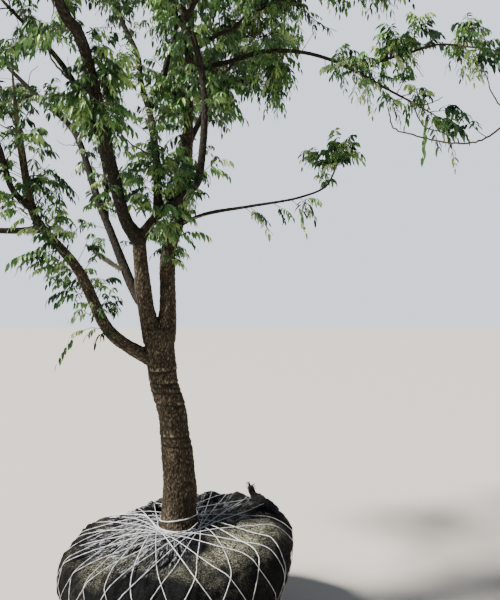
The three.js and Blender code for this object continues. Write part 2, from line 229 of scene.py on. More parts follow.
def smooth_line(knots, spacing):
    """A centripetal Catmull-Rom curve through the knots, as evenly spaced points."""
    knots = np.array([2 * knots[0] - knots[1], *knots, 2 * knots[-1] - knots[-2]])
    t = np.linspace(0, 1, CURVE_STEPS, endpoint=False)[:, None]
    fine = []
    for p0, p1, p2, p3 in zip(knots, knots[1:], knots[2:], knots[3:]):
        d0, d1, d2 = (max(np.linalg.norm(b - a) ** 0.5, 1e-4) for a, b in ((p0, p1), (p1, p2), (p2, p3)))
        leave = ((p1 - p0) / d0 - (p2 - p0) / (d0 + d1) + (p2 - p1) / d1) * d1
        arrive = ((p2 - p1) / d1 - (p3 - p1) / (d1 + d2) + (p3 - p2) / d2) * d1
        cubic = 2 * p1 - 2 * p2 + leave + arrive
        square = 3 * p2 - 3 * p1 - 2 * leave - arrive
        fine.append(p1 + leave * t + square * t**2 + cubic * t**3)
    fine = np.vstack([*fine, knots[-2]])
    run = np.concatenate([[0], np.cumsum(np.linalg.norm(np.diff(fine, axis=0), axis=1))])
    even = np.linspace(0, run[-1], max(3, round(run[-1] / spacing) + 1))
    return np.column_stack([np.interp(even, run, fine[:, axis]) for axis in range(3)]), even


def carried_frames(points):
    """The direction at each point of a line, and two square sides that don't twist along it."""
    along = unit(np.gradient(points, axis=0))
    start = np.cross(along[0], (0.0, 1.0, 0.0) if abs(along[0][1]) < 0.9 else (1.0, 0.0, 0.0))
    side = [start / np.linalg.norm(start)]
    for direction in along[1:]:
        turned = side[-1] - direction * np.dot(side[-1], direction)
        side.append(turned / np.linalg.norm(turned))
    side = np.array(side)
    return along, side, np.cross(along, side)


def tube(points, radii, sides, twist=0.0):
    """A closed tube round a line: its corners, its four-cornered faces and its end faces."""
    along, side, across = carried_frames(points)
    turns = np.linspace(0, 2 * math.pi, sides, endpoint=False) + twist * np.arange(len(points))[:, None]
    ring = np.cos(turns)[:, :, None] * side[:, None] + np.sin(turns)[:, :, None] * across[:, None]
    radii = np.asarray(radii, float)
    if radii.ndim == 1:
        radii = radii[:, None]
    corners = (points[:, None] + ring * radii[:, :, None]).reshape(-1, 3)
    row = np.arange(len(points) - 1)[:, None] * sides
    first = row + np.arange(sides)
    second = row + (np.arange(sides) + 1) % sides
    quads = np.stack([first, second, second + sides, first + sides], -1).reshape(-1, 4)
    last = (len(points) - 1) * sides
    caps = [list(range(sides))[::-1], [last + i for i in range(sides)]]
    return corners, quads, caps


def tapered(line, base, tip, sides):
    """A tube that narrows evenly along a line."""
    return tube(line, np.linspace(base, tip, len(line)), sides)


def new_piece(name, corners, faces):
    """A new object from its corners and faces."""
    mesh = bpy.data.meshes.new(name)
    mesh.from_pydata(corners.reshape(-1, 3).tolist(), [], faces)
    piece = bpy.data.objects.new(name, mesh)
    bpy.context.scene.collection.objects.link(piece)
    return piece


def joined_mesh(name, parts):
    """One object from many tubes."""
    corners, faces, count = [], [], 0
    for points, quads, caps in parts:
        corners.append(points)
        faces.extend((quads + count).tolist())
        faces.extend([[corner + count for corner in cap] for cap in caps])
        count += len(points)
    return new_piece(name, np.vstack(corners), faces)


def pick(piece):
    """Selects one piece and nothing else."""
    bpy.ops.object.select_all(action="DESELECT")
    piece.select_set(True)
    bpy.context.view_layer.objects.active = piece


def finish_with(piece, kind, **settings):
    """Adds a modifier with its settings and applies it."""
    pick(piece)
    modifier = piece.modifiers.new(kind.lower(), kind)
    for key, value in settings.items():
        setattr(modifier, key, value)
    bpy.ops.object.modifier_apply(modifier=modifier.name)


def shade_smooth(piece):
    """Shades a piece smoothly across its faces."""
    pick(piece)
    bpy.ops.object.shade_smooth()


def skin_of(piece):
    """The corners of a mesh, and the direction that each one faces."""
    skin = np.empty((2, len(piece.data.vertices) * 3), np.float32)
    piece.data.vertices.foreach_get("co", skin[0])
    piece.data.vertex_normals.foreach_get("vector", skin[1])
    return skin.reshape(2, -1, 3).astype(float)


def move_corners(piece, points):
    """Puts the corners of a mesh at new places."""
    piece.data.vertices.foreach_set("co", points.astype(np.float32).ravel())
    piece.data.update()


def store(piece, name, values):
    """Keeps a number or a vector at each corner, for the material to read."""
    kind, field = ("FLOAT_VECTOR", "vector") if values.ndim > 1 else ("FLOAT", "value")
    attribute = piece.data.attributes.new(name, kind, "POINT")
    attribute.data.foreach_set(field, values.astype(np.float32).ravel())


# Large odd numbers that mix a cell's place into one that seems random.
HASH_AXES = (73856093, 19349663, 83492791)
HASH_SEED = 2654435761
HASH_ROUNDS = ((13, 1274126177), (15, 2246822519))
HASH_MASK = 0xFFFFFFFF
HASH_LOW = 0xFFFF


def scatter(cells, seed):
    """A number from 0 to 1 for each whole-numbered cell."""
    key = seed * HASH_SEED
    for axis, factor in enumerate(HASH_AXES):
        key = key ^ (cells[..., axis] * factor)
    for shift, factor in HASH_ROUNDS:
        key = ((key ^ (key >> shift)) * factor) & HASH_MASK
    return ((key ^ (key >> 16)) & HASH_LOW) / HASH_LOW


def lumps(points, seed):
    """Smooth noise from -1 to 1, with lumps about one unit across."""
    cells = np.floor(points).astype(np.int64)
    part = points - cells
    ease = part * part * (3 - 2 * part)
    total = np.zeros(len(points))
    for corner in itertools.product((0, 1), repeat=3):
        share = np.prod(np.where(corner, ease, 1 - ease), axis=1)
        total += share * (2 * scatter(cells + np.array(corner), seed) - 1)
    return total


def plates(points, seed):
    """Cell noise: how far each point lies from the crack round its plate, from 0 at the crack."""
    cells = np.floor(points).astype(np.int64)
    nearest = np.full(len(points), np.inf)
    second = np.full(len(points), np.inf)
    for corner in itertools.product((-1, 0, 1), repeat=3):
        cell = cells + np.array(corner)
        heart = cell + np.stack([scatter(cell, seed + axis) for axis in range(3)], -1)
        distance = np.linalg.norm(points - heart, axis=1)
        second = np.minimum(second, np.maximum(nearest, distance))
        nearest = np.minimum(nearest, distance)
    return second - nearest


def point_at(limb, along):
    """The middle of a limb at a length along it."""
    return np.array([np.interp(along, limb["run"], limb["line"][:, axis]) for axis in range(3)])


def grown_limb(parent, along, girths, legs, aside=0):
    """A limb's middle line, its length along that and its radius, from its legs and girths."""
    foot = point_at(limbs[parent], along) if parent else np.array(TRUNK_FOOT)
    foot[0] += aside
    knots = [foot]
    ends = [0.0]
    for length, heading, rise in legs:
        turn, lift = math.radians(heading), math.radians(rise)
        level = length * math.cos(lift)
        step = (level * math.cos(turn), level * math.sin(turn), length * math.sin(lift))
        knots.append(knots[-1] + np.array(step))
        ends.append(ends[-1] + length)
    line, run = smooth_line(knots, LIMB_STEP)
    stops = np.array(ends) / ends[-1] if len(girths) > 2 else np.array((0.0, 1.0))
    return {"line": line, "run": run, "radius": np.interp(run / run[-1], stops, girths) / 2}


# A bough is rooted a little way down inside its parent, by so many of the parent's radii, and
# swells where it leaves it. A limb is a little uneven, and rounded off at its cut end.
ROOT_DEPTH = 1.8
ROOT_LEAST = 0.02
ROOT_RINGS = 5
ROOT_GIRTH, ROOT_GROWTH = 0.55, 0.45
COLLAR_SWELL = 0.26
STEM_SWELL = 0.03
SWELL_REACH = 1.6
UNEVEN, UNEVEN_LENGTH, UNEVEN_SHIFT = 0.05, 0.09, 3.7
END_GIRTH = 0.6
BODY_LIMBS = ("trunk", "left_stem", "right_stem", "low_left_bough")
limbs = {}
for name, (parent, along, girths, legs) in LIMBS.items():
    limbs[name] = grown_limb(parent, along, girths, legs, STEMS_ASIDE.get(name, 0))
    if parent:
        parent_radius = np.interp(along, limbs[parent]["run"], limbs[parent]["radius"])
        root = point_at(limbs[parent], max(ROOT_LEAST, along - ROOT_DEPTH * parent_radius))
        limbs[name].update(parent_radius=parent_radius, root=root)


def limb_tube(name, sides):
    """A limb's tube before its bark, a little uneven along its length."""
    limb = limbs[name]
    line, radius = limb["line"], limb["radius"].copy()
    own = np.full(len(radius), len(name) * UNEVEN_SHIFT)
    wobble = np.column_stack([limb["run"] / UNEVEN_LENGTH, own, radius * 0])
    radius *= 1 + UNEVEN * lumps(wobble, len(name))
    radius[-1] *= END_GIRTH
    if name != "trunk":
        swell = STEM_SWELL if name in STEMS_ASIDE else COLLAR_SWELL
        past = np.maximum(0, limb["run"] - limb["parent_radius"])
        radius *= 1 + swell * np.exp(-past / (SWELL_REACH * radius[0]))
        lead = np.linspace(0, 1, ROOT_RINGS, endpoint=False)
        line = np.vstack([limb["root"] + (line[0] - limb["root"]) * lead[:, None], line])
        radius = np.concatenate([radius[0] * (ROOT_GIRTH + ROOT_GROWTH * lead), radius])
    return tube(line, radius, sides)


# The bark's plates are longer than they are wide, with wandering fissures between them, a fine
# roughness and broad swellings. All of it is full on a limb of this radius and less on thinner ones.
BARK_FULL_RADIUS = 0.07
BARK_LEAST = 0.1
GRAIN_SHIFT = 7.3
WARP, WARP_SIZE = np.array((0.006, 0.006, 0.015)), 0.05
PLATE_SIZE = (0.011, 0.011, 0.024)
FISSURE_DEPTH, FISSURE_WIDTH = 0.0036, 0.42
ROUGH_DEPTH, ROUGH_SIZE = 0.0022, (0.010, 0.010, 0.013)
BULGE_DEPTH, BULGE_SIZE = 0.0034, (0.045, 0.045, 0.09)
# Old ties left wandering creases round the trunk at these heights above its foot, with a worn lip
# over each. A lost bough left a rough knot: its places, their reach and how far they stand out.
TIE_MARKS = (
    (0.403, 0.0030), (0.447, 0.0018), (0.600, 0.0030), (0.657, 0.0026), (0.706, 0.0038), (0.765, 0.0022),
)
TIE_WIDTH = 0.0065
TIE_WANDER, TIE_WAVE, TIE_SHIFT = 0.007, 0.05, 90
LIP_ABOVE, LIP_WIDTH, LIP_SHARE = 1.9 * TIE_WIDTH, 1.3 * TIE_WIDTH, 0.5
KNOTS = (((-0.076, 0.056, 1.948), 0.026, 0.010), ((-0.046, 0.052, 1.962), 0.020, 0.008))
KNOT_GRAIN = 0.016
FLAT_FOOT = 0.004
BATCH = 4000


def barked(name, limb_names, voxel, sides):
    """The limbs grown together as one skin, with fissured bark cut into it."""
    piece = joined_mesh(name, [limb_tube(limb_name, sides) for limb_name in limb_names])
    finish_with(piece, "REMESH", mode="VOXEL", voxel_size=voxel, use_smooth_shade=True)
    finish_with(piece, "SMOOTH", factor=0.5, iterations=4)
    points, facing = skin_of(piece)
    centres = np.vstack([limbs[n]["line"] for n in limb_names])
    frames_of = [carried_frames(limbs[n]["line"]) for n in limb_names]
    along, side, across = (np.vstack([frames[i] for frames in frames_of]) for i in range(3))
    radius = np.concatenate([limbs[n]["radius"] for n in limb_names])
    shift = np.concatenate([limbs[n]["run"] + GRAIN_SHIFT * i for i, n in enumerate(limb_names)])
    owner = np.empty(len(points), int)
    for start in range(0, len(points), BATCH):
        gap = np.linalg.norm(points[start:start + BATCH, None] - centres[None], axis=2) - radius[None]
        owner[start:start + BATCH] = gap.argmin(axis=1)
    offset = points - centres[owner]
    grain = np.column_stack([
        np.sum(offset * side[owner], axis=1),
        np.sum(offset * across[owner], axis=1),
        shift[owner] + np.sum(offset * along[owner], axis=1),
    ])
    thick = np.clip(radius[owner] / BARK_FULL_RADIUS, BARK_LEAST, 1)
    warp = WARP * np.column_stack([lumps(grain / WARP_SIZE, seed) for seed in (5, 6, 7)])
    fissure = np.clip(plates((grain + warp) / PLATE_SIZE, 21) / FISSURE_WIDTH, 0, 1)
    rise = -FISSURE_DEPTH * (1 - fissure) ** 1.5 * thick
    rise += ROUGH_DEPTH * thick * lumps(grain / ROUGH_SIZE, 31)
    rise += BULGE_DEPTH * thick * lumps(grain / BULGE_SIZE, 33)
    height = points[:, 2] - TRUNK_FOOT[2]
    rubbed = np.zeros(len(points))
    on_trunk = np.zeros(len(points), bool)
    if limb_names[0] == "trunk":
        on_trunk = owner < len(limbs["trunk"]["line"])
    for mark, depth in TIE_MARKS:
        around = np.column_stack([grain[:, :2] / TIE_WAVE, np.full(len(points), mark * TIE_SHIFT)])
        past = height - mark - TIE_WANDER * lumps(around, 41)
        crease = np.exp(-(past / TIE_WIDTH) ** 2)
        lip = np.exp(-((past - LIP_ABOVE) / LIP_WIDTH) ** 2)
        rise += np.where(on_trunk, depth * (LIP_SHARE * lip - crease), 0)
        lightened = lip * np.clip(3.0 * lumps(around * 1.7 + 5, 43) - 0.4, 0, 1)
        rubbed = np.maximum(rubbed, np.where(on_trunk, lightened, 0))
        fissure = np.where(on_trunk, np.minimum(fissure, 1 - 0.95 * crease), fissure)
    gnarl = lumps(grain / KNOT_GRAIN, 47)
    for place, reach, swell in KNOTS:
        near = np.exp(-(np.linalg.norm(points - place, axis=1) / reach) ** 2)
        rise += near * swell * (0.35 + gnarl)
        fissure = np.minimum(fissure, 1 - near * (gnarl < -0.1))
    at_foot = on_trunk & (height < FLAT_FOOT)
    points += facing * np.where(at_foot, 0, rise)[:, None]
    move_corners(piece, points)
    store(piece, "grain", grain)
    store(piece, "fissure", fissure)
    store(piece, "rub", rubbed)
    shade_smooth(piece)
    return piece


def new_material(name, color, roughness):
    """A material with its shader set, its nodes and its links."""
    material = bpy.data.materials.new(name)
    material.use_nodes = True
    tree = material.node_tree
    shader = tree.nodes["Principled BSDF"]
    shader.inputs["Base Color"].default_value = (*color, 1)
    shader.inputs["Roughness"].default_value = roughness
    return material, tree, shader


def add_node(tree, kind, values=None, **settings):
    """A node with its settings, and with its inputs set or linked."""
    node = tree.nodes.new(kind)
    for key, value in settings.items():
        setattr(node, key, value)
    for key, value in (values or {}).items():
        if isinstance(value, bpy.types.NodeSocket):
            tree.links.new(value, node.inputs[key])
        else:
            node.inputs[key].default_value = value
    return node


def blend_colors(tree, share, first, second):
    """A mix of two colours by a share."""
    node = add_node(tree, "ShaderNodeMix", data_type="RGBA")
    tree.links.new(share, node.inputs[0])
    for index, value in ((6, first), (7, second)):
        if isinstance(value, bpy.types.NodeSocket):
            tree.links.new(value, node.inputs[index])
        else:
            node.inputs[index].default_value = (*value, 1)
    return node.outputs[2]


def band_of(tree, value, low, high):
    """A value stretched so that low gives 0 and high gives 1."""
    values = {"Value": value, "From Min": low, "From Max": high}
    return add_node(tree, "ShaderNodeMapRange", values).outputs["Result"]


def grain_noise(tree, vector, scale, detail=3.0):
    """Noise from 0 to 1, read at a vector, with so many lumps to a metre."""
    values = {"Vector": vector, "Scale": scale, "Detail": detail}
    return add_node(tree, "ShaderNodeTexNoise", values).outputs["Fac"]


def stored(tree, name, output="Fac"):
    """What the mesh keeps at its corners under a name."""
    return add_node(tree, "ShaderNodeAttribute", attribute_name=name).outputs[output]


def place_on(tree):
    """The place on the piece, in metres."""
    return add_node(tree, "ShaderNodeTexCoord").outputs["Object"]


def height_of(tree, vector):
    """The upward share of a vector."""
    return add_node(tree, "ShaderNodeSeparateXYZ", {"Vector": vector}).outputs["Z"]


def reckoned(tree, operation, first, second):
    """The product, difference or greater one of two numbers."""
    return add_node(tree, "ShaderNodeMath", {0: first, 1: second}, operation=operation).outputs["Value"]


def add_bump(tree, shader, strength, depth, height):
    """Fine relief in a shader, from a height."""
    bump = add_node(tree, "ShaderNodeBump", {"Strength": strength, "Distance": depth, "Height": height})
    tree.links.new(bump.outputs["Normal"], shader.inputs["Normal"])


def new_group(name, colors, outputs):
    """A node group with colour inputs, and its colour and height outputs."""
    tree = bpy.data.node_groups.new(name, "ShaderNodeTree")
    for color in colors:
        tree.interface.new_socket(color, in_out="INPUT", socket_type="NodeSocketColor")
    for output in outputs:
        kind = "NodeSocketColor" if output == "Color" else "NodeSocketFloat"
        tree.interface.new_socket(output, in_out="OUTPUT", socket_type=kind)
    return tree, tree.nodes.new("NodeGroupInput").outputs, tree.nodes.new("NodeGroupOutput").inputs


def look_material(name, group, colors, roughness, bump_strength=0.0, bump_depth=0.0, specular=0.5):
    """A material that takes its colours through a node group, and its relief if that has a height."""
    material, tree, shader = new_material(name, colors[0], roughness)
    look = tree.nodes.new("ShaderNodeGroup")
    look.node_tree = group
    for socket, color in zip(look.inputs, colors):
        socket.default_value = (*color, 1)
    tree.links.new(look.outputs["Color"], shader.inputs["Base Color"])
    if bump_depth:
        add_bump(tree, shader, bump_strength, bump_depth, look.outputs["Height"])
    shader.inputs["Specular IOR Level"].default_value = specular
    return material


def bark_look():
    """Fissured bark: paler plates with flecks between dark creases, and rubbed marks."""
    tree, given, out = new_group("bark_look", ("Dark", "Mid", "Pale", "Rubbed"), ("Color", "Height"))
    grain = stored(tree, "grain", "Vector")
    stretch = {"Vector": grain, "Scale": (1, 1, 0.45)}
    long_grain = add_node(tree, "ShaderNodeMapping", stretch).outputs["Vector"]
    broad = band_of(tree, grain_noise(tree, grain, 9), 0.35, 0.7)
    fine = band_of(tree, grain_noise(tree, long_grain, 150, 4.0), 0.36, 0.66)
    flecks = band_of(tree, grain_noise(tree, long_grain, 100, 5.0), 0.58, 0.70)
    plate = blend_colors(tree, broad, given["Mid"], given["Pale"])
    plate = blend_colors(tree, flecks, plate, given["Rubbed"])
    speckled = blend_colors(tree, fine, given["Dark"], plate)
    tied = blend_colors(tree, band_of(tree, stored(tree, "rub"), 0.1, 0.8), speckled, given["Rubbed"])
    color = blend_colors(tree, band_of(tree, stored(tree, "fissure"), 0.05, 0.75), given["Dark"], tied)
    tree.links.new(color, out["Color"])
    tree.links.new(fine, out["Height"])
    return tree


bark_group = bark_look()
bark_colors = ((0.014, 0.011, 0.007), (0.098, 0.074, 0.046), (0.200, 0.158, 0.102), (0.28, 0.235, 0.170))
young_colors = ((0.008, 0.006, 0.004), (0.029, 0.024, 0.017), (0.055, 0.047, 0.034), (0.105, 0.092, 0.070))
BARK_FINISH = {"roughness": 0.9, "bump_strength": 0.7, "bump_depth": 0.003, "specular": 0.25}
bark = look_material("bark", bark_group, bark_colors, **BARK_FINISH)
young_bark = look_material("young_bark", bark_group, young_colors, **BARK_FINISH)

boughs = [name for name in LIMBS if name not in BODY_LIMBS]
LEFT_BOUGHS = tuple(name for name in boughs if "left" in name or name == "front_bough")
RIGHT_BOUGHS = tuple(name for name in boughs if name not in LEFT_BOUGHS)
for piece_name, limb_names, finish, voxel, sides in (
    ("trunk_bark", BODY_LIMBS, bark, 0.0041, 28),
    ("left_bough_bark", LEFT_BOUGHS, young_bark, 0.0040, 16),
    ("right_bough_bark", RIGHT_BOUGHS, young_bark, 0.0040, 16),
):
    skin = barked(piece_name, limb_names, voxel, sides)
    skin.data.materials.append(finish)
    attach(skin, "root")
    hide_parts(*limb_names)

# Twigs and sprays of leaves
# Each mass is filled by side boughs and twigs that grow from its limb, and every twig carries
# arching sprays of lance-shaped leaflets that hang in pairs. Short shoots stand along the limbs,
# and a few twigs are bare or broken.
random = np.random.default_rng(77)
UP = np.array((0.0, 0.0, 1.0))
# How many sprays a mass one metre across gets, and how they stand on their twigs.
SPRAY_RATE = 850
SPRAY_HANG = 0.04
SPRAY_PAIRS = 5
SPRAY_SHARE, SPRAY_LENGTH = 0.55, (0.08, 0.135)
SPRAY_TURN = 2.4
SPRAY_LIFT = 0.12 * UP
SPRAY_VARIES = (0.65, 1.2)
SIDE_LEAN, TIP_LEAN = (0.7, 1.2), 0.25
SPRAY_REACH, SPRAY_SAG = 0.7, 0.35 * UP
NEARLY_UP = (0.3, 0.2, 1.0)
# Twigs narrow to a tip and lift a little. They stay within a share of the mass's half size.
SPRAYS_PER_TWIG = 5
TWIG_GIRTH, TWIG_TIP = 0.0022, 0.0010
TWIG_LEAFY_FROM = 0.4
TWIG_LIFT = 0.1 * UP
TWIG_WANDER = 0.15
TWIG_FROM, TWIG_SPAN = 0.22, 0.78
TWIG_AHEAD, TWIG_OUTWARD, TWIG_SCATTER = 0.7, 0.5, 0.8
TWIG_REACH, TWIG_LONGEST, TWIG_LEAST, TWIG_SHARE = (0.4, 1.0), 0.24, 0.03, 0.75
TWIG_LIMIT = 0.86
# Side boughs point evenly all round a mass, and leave the limb at one of its nearer places.
TWIGS_PER_BOUGH = 5
GOLDEN_TURN = 2.39996
LIMB_NEAR, LIMB_SLACK = 1.15, 0.25
BOUGH_SCATTER = 0.18
BOUGH_REACH = (0.5, 0.8)
BOUGH_CHOICE, FOOT_PULL = (0.05, 0.5), 0.35
BOUGH_BASE, BOUGH_GROWTH, BOUGH_TIP, BOUGH_THICKEST = 0.0022, 0.008, 0.0016, 0.7
BOUGH_BEND, BOUGH_STRAIGHT = 0.012, 0.3
BOUGH_POINTS = 9
# Shoots on the limbs, single twigs and the leaders that limbs run out in.
SHOOT_GIRTH, SHOOT_LIFT, SHOOT_LEAN = 0.0020, 0.25 * UP, 0.5
SHOOT_VARIES, SHOOT_SPRAYS, SHOOT_LEAFY = (0.5, 1.25), (2, 5), (0.07, 0.11)
SINGLE_BEND, SINGLE_SPRAY, SINGLE_LEAFY_FROM = 0.0012, 0.085, 0.15
LEADER_LEAST, LEADER_GROWTH = 0.06, 17
LEADER_BEND, LEADER_POINTS, LEADER_SPRAY = 0.10, 10, 0.10
LEADER_BASE, LEADER_TIP, LEADER_LEAFY_FROM = 0.97, 0.0014, 0.35
LEADER_TWIGS, LEADER_TWIG_SHARE, LEADER_TWIG_GIRTH = (0.35, 0.55, 0.72), 0.45, 0.0024
# For each mass, the limb that feeds it and how densely it is filled.
MASSES = {
    "low_left_top_leaves": ("low_left_bough", 0.15), "low_left_outer_leaves": ("low_left_outer_bough", 0.4),
    "low_left_level_leaves": ("low_left_level_bough", 0.6), "low_left_shoot_leaves": ("low_left_bough", 0.9),
    "left_back_leaves": ("left_back_bough", 0.4), "left_edge_leaves": ("left_outer_back_bough", 0.4),
    "back_left_leaves": ("back_left_bough", 0.35), "left_front_leaves": ("left_front_bough", 0.85),
    "left_front_side_leaves": ("left_front_side_bough", 0.45),
    "left_front_top_leaves": ("left_front_bough", 0.8),
    "front_leaves": ("front_bough", 0.8), "front_right_leaves": ("front_right_bough", 0.9),
    "middle_left_leaves": ("middle_left_bough", 0.8), "middle_left_top_leaves": ("middle_left_bough", 0.5),
    "middle_top_leaves": ("middle_bough", 1.1), "crown_top_leaves": ("right_stem", 1.0),
    "top_back_leaves": ("top_back_bough", 0.7), "centre_leaves": ("right_fork_bough", 2.1),
    "centre_high_leaves": ("right_fork_bough", 1.0), "centre_top_leaves": ("right_fork_bough", 0.9),
    "centre_right_leaves": ("right_long_bough", 1.8), "centre_right_high_leaves": ("right_upper_bough", 0.6),
    "right_hanging_leaves": ("right_long_bough", 1.9), "right_upper_leaves": ("right_upper_bough", 0.75),
    "right_top_leaves": ("right_upper_bough", 0.7), "right_front_leaves": ("right_front_bough", 0.75),
    "right_long_high_leaves": ("right_side_bough", 1.5), "right_long_leaves": ("right_long_bough", 3.0),
    "right_tip_leaves": ("right_long_bough", 1.3), "right_side_leaves": ("right_side_bough", 0.85),
    "low_right_leaves": ("right_low_bough", 1.3), "back_leaves": ("back_bough", 0.4),
    "back_right_leaves": ("back_right_bough", 0.6),
}
# Shoots along a limb: from where to where along it, how many there are and how long they are.
SHOOTS = (
    ("left_front_bough", 0.46, 1.02, 40, 0.130), ("left_front_bough", 0.12, 0.46, 6, 0.090),
    ("low_left_bough", 0.34, 1.25, 52, 0.130), ("middle_left_bough", 0.02, 0.42, 42, 0.130),
    ("middle_left_bough", 0.42, 1.30, 10, 0.090), ("left_back_bough", 0.30, 1.10, 16, 0.110),
    ("left_back_bough", 1.10, 1.90, 14, 0.130), ("left_front_side_bough", 0.05, 0.60, 14, 0.110),
    ("middle_bough", 0.04, 0.45, 26, 0.100), ("middle_bough", 0.60, 1.30, 14, 0.110),
    ("right_stem", 0.38, 0.72, 18, 0.080), ("right_stem", 0.90, 1.60, 24, 0.140),
    ("right_long_bough", 0.20, 0.80, 12, 0.100), ("right_upper_bough", 0.10, 0.90, 20, 0.120),
    ("right_low_bough", 0.30, 0.80, 6, 0.080), ("back_bough", 0.20, 0.90, 14, 0.130),
    ("back_left_bough", 0.20, 1.00, 20, 0.140), ("back_right_bough", 0.20, 1.14, 24, 0.140),
    ("left_front_bough", 1.05, 1.72, 34, 0.170), ("front_bough", 0.05, 0.62, 24, 0.160),
    ("front_right_bough", 0.05, 0.70, 24, 0.160), ("middle_bough", 1.25, 1.56, 18, 0.170),
    ("middle_left_bough", 1.05, 1.45, 18, 0.160), ("right_stem", 1.65, 2.25, 30, 0.180),
    ("right_fork_bough", 0.10, 0.62, 16, 0.140), ("top_back_bough", 0.05, 0.62, 22, 0.170),
    ("back_bough", 0.90, 1.25, 14, 0.150), ("right_upper_bough", 0.90, 1.15, 12, 0.150),
    ("right_front_bough", 0.10, 0.75, 14, 0.140), ("left_outer_back_bough", 0.10, 0.62, 14, 0.140),
    ("low_left_outer_bough", 0.20, 0.70, 12, 0.130), ("low_left_level_bough", 0.26, 0.60, 14, 0.130),
    ("right_long_bough", 0.74, 1.02, 12, 0.100),
)
# Single twigs that stand clear of the masses, sized as the limbs are. The last number is how many
# sprays each bears.
TWIGS = {
    "long_end": ("right_long_bough", 1.221, (0.0065, 0.0035), ((0.061, 339, -15), (0.072, 334, 17)), 0),
    "long_drop": (
        "right_long_bough", 1.214, (0.0078, 0.0040),
        ((0.078, 330, -70), (0.062, 321, -59), (0.094, 339, -27), (0.040, 331, -60)), 1,
    ),
    "hung": (
        "right_front_bough", 0.564, (0.0150, 0.0060),
        ((0.615, 326, -23), (0.300, 17, -77), (0.296, 88, -86), (0.163, 153, -82), (0.134, 174, -41),
         (0.086, 166, -8), (0.109, 169, 10), (0.120, 170, 18), (0.076, 163, 27), (0.107, 136, 75)), 0,
    ),
    "edge": (
        "hung", 1.374, (0.0070, 0.0035),
        ((0.049, 180, 46), (0.080, 165, 61), (0.087, 154, 75), (0.084, 167, 59)), 1,
    ),
    "hung_leafy": (
        "hung", 1.508, (0.0040, 0.0020), ((0.031, 180, 34), (0.071, 168, 47), (0.056, 164, 50)), 4,
    ),
    "side_fine": ("right_side_bough", 0.465, (0.0036, 0.0018), ((0.057, 325, 70), (0.081, 341, 40)), 0),
    "upper": (
        "right_upper_bough", 0.757, (0.0080, 0.0030),
        ((0.144, 330, -63), (0.092, 341, -48), (0.123, 349, -33)), 7,
    ),
    "cross": (
        "middle_bough", 0.318, (0.0120, 0.0040),
        ((0.058, 190, 60), (0.089, 189, 46), (0.102, 188, 46),
         (0.105, 192, 29), (0.078, 201, 44), (0.103, 204, 45)), 9,
    ),
    "parallel": (
        "left_front_side_bough", 0.272, (0.0120, 0.0050),
        ((0.037, 216, 24), (0.051, 197, 49), (0.034, 207, 50), (0.054, 205, 64), (0.081, 204, 53)), 5,
    ),
    "left_hung": ("left_front_bough", 1.073, (0.0060, 0.0030), ((0.044, 214, -78), (0.071, 144, -76)), 0),
    "left_edge": ("left_back_bough", 1.809, (0.0060, 0.0030), ((0.100, 319, 8), (0.070, 343, 1)), 3),
    "left_spur": ("left_back_bough", 1.567, (0.0060, 0.0030), ((0.130, 300, 17), (0.056, 337, 25)), 3),
    "left_low": ("left_back_bough", 1.030, (0.0050, 0.0024), ((0.116, 227, -9), (0.031, 206, 42)), 0),
    "fork_spur": ("middle_left_bough", 0.498, (0.0090, 0.0050), ((0.072, 333, 0), (0.066, 348, 45)), 5),
    "fork_drop": ("fork_spur", 0.071, (0.0040, 0.0020), ((0.068, 335, -70), (0.060, 0, -88)), 3),
    "low_spur": ("low_left_bough", 0.820, (0.0060, 0.0030), ((0.058, 341, 20), (0.042, 346, 16)), 3),
    "low_fall": (
        "low_left_bough", 0.150, (0.0050, 0.0022), ((0.120, 215, 40), (0.120, 200, 15), (0.080, 190, -30)), 5,
    ),
}
# Bare or broken ones with pale bark.
PALE_TWIGS = {
    "pale": ("right_side_bough", 0.241, (0.0050, 0.0030), ((0.067, 344, -72), (0.069, 343, -61)), 0),
    "broken": (
        "left_back_bough", 0.235, (0.0200, 0.0290, 0.0250, 0.0120),
        ((0.110, 205, 30), (0.059, 204, 34), (0.075, 199, 38)), 0,
    ),
    # The stub's pale bark is painted sunlight on the lit start of the low right bough.
    "sunlit_stub": ("right_stem", 0.600, (0.0120, 0.0070), ((0.085, 335, 18), (0.075, 345, 10)), 0),
    "knot_stub": ("right_stem", 0.500, (0.0100, 0.0060), ((0.060, 215, 10), (0.040, 190, 35)), 1),
}
# Openings in the crown, as the photo shows them: the middle and the half size of each, in the
# photo's pixels. Few twigs and sprays grow there.
SKY_GAPS = (
    ((48, 12), (9, 14)), ((88, 12), (9, 14)), ((35, 66), (21, 17)), ((10, 74), (14, 11)), ((62, 50), (9, 7)),
    ((44, 114), (20, 12)), ((62, 150), (12, 30)), ((127, 96), (10, 11)), ((128, 135), (15, 8)),
    ((168, 138), (9, 12)), ((196, 133), (4, 33)), ((212, 131), (8, 15)), ((143, 46), (7, 12)),
    ((142, 9), (12, 8)), ((85, 141), (5, 8)), ((120, 45), (9, 6)), ((242, 101), (10, 8)),
    ((326, 38), (22, 13)), ((357, 13), (18, 13)), ((228, 54), (8, 8)), ((381, 158), (18, 30)),
    ((57, 58), (8, 9)), ((68, 74), (6, 9)), ((317, 92), (24, 24)),
)
GAP_KEEPS = 0.07
PHOTO_MIDDLE = (PHOTO_SIZE[0] / 2, PHOTO_SIZE[1] / 2)
PHOTO_FOCUS = LENS / SENSOR * PHOTO_SIZE[1]
twig_tubes = []
sprays = []


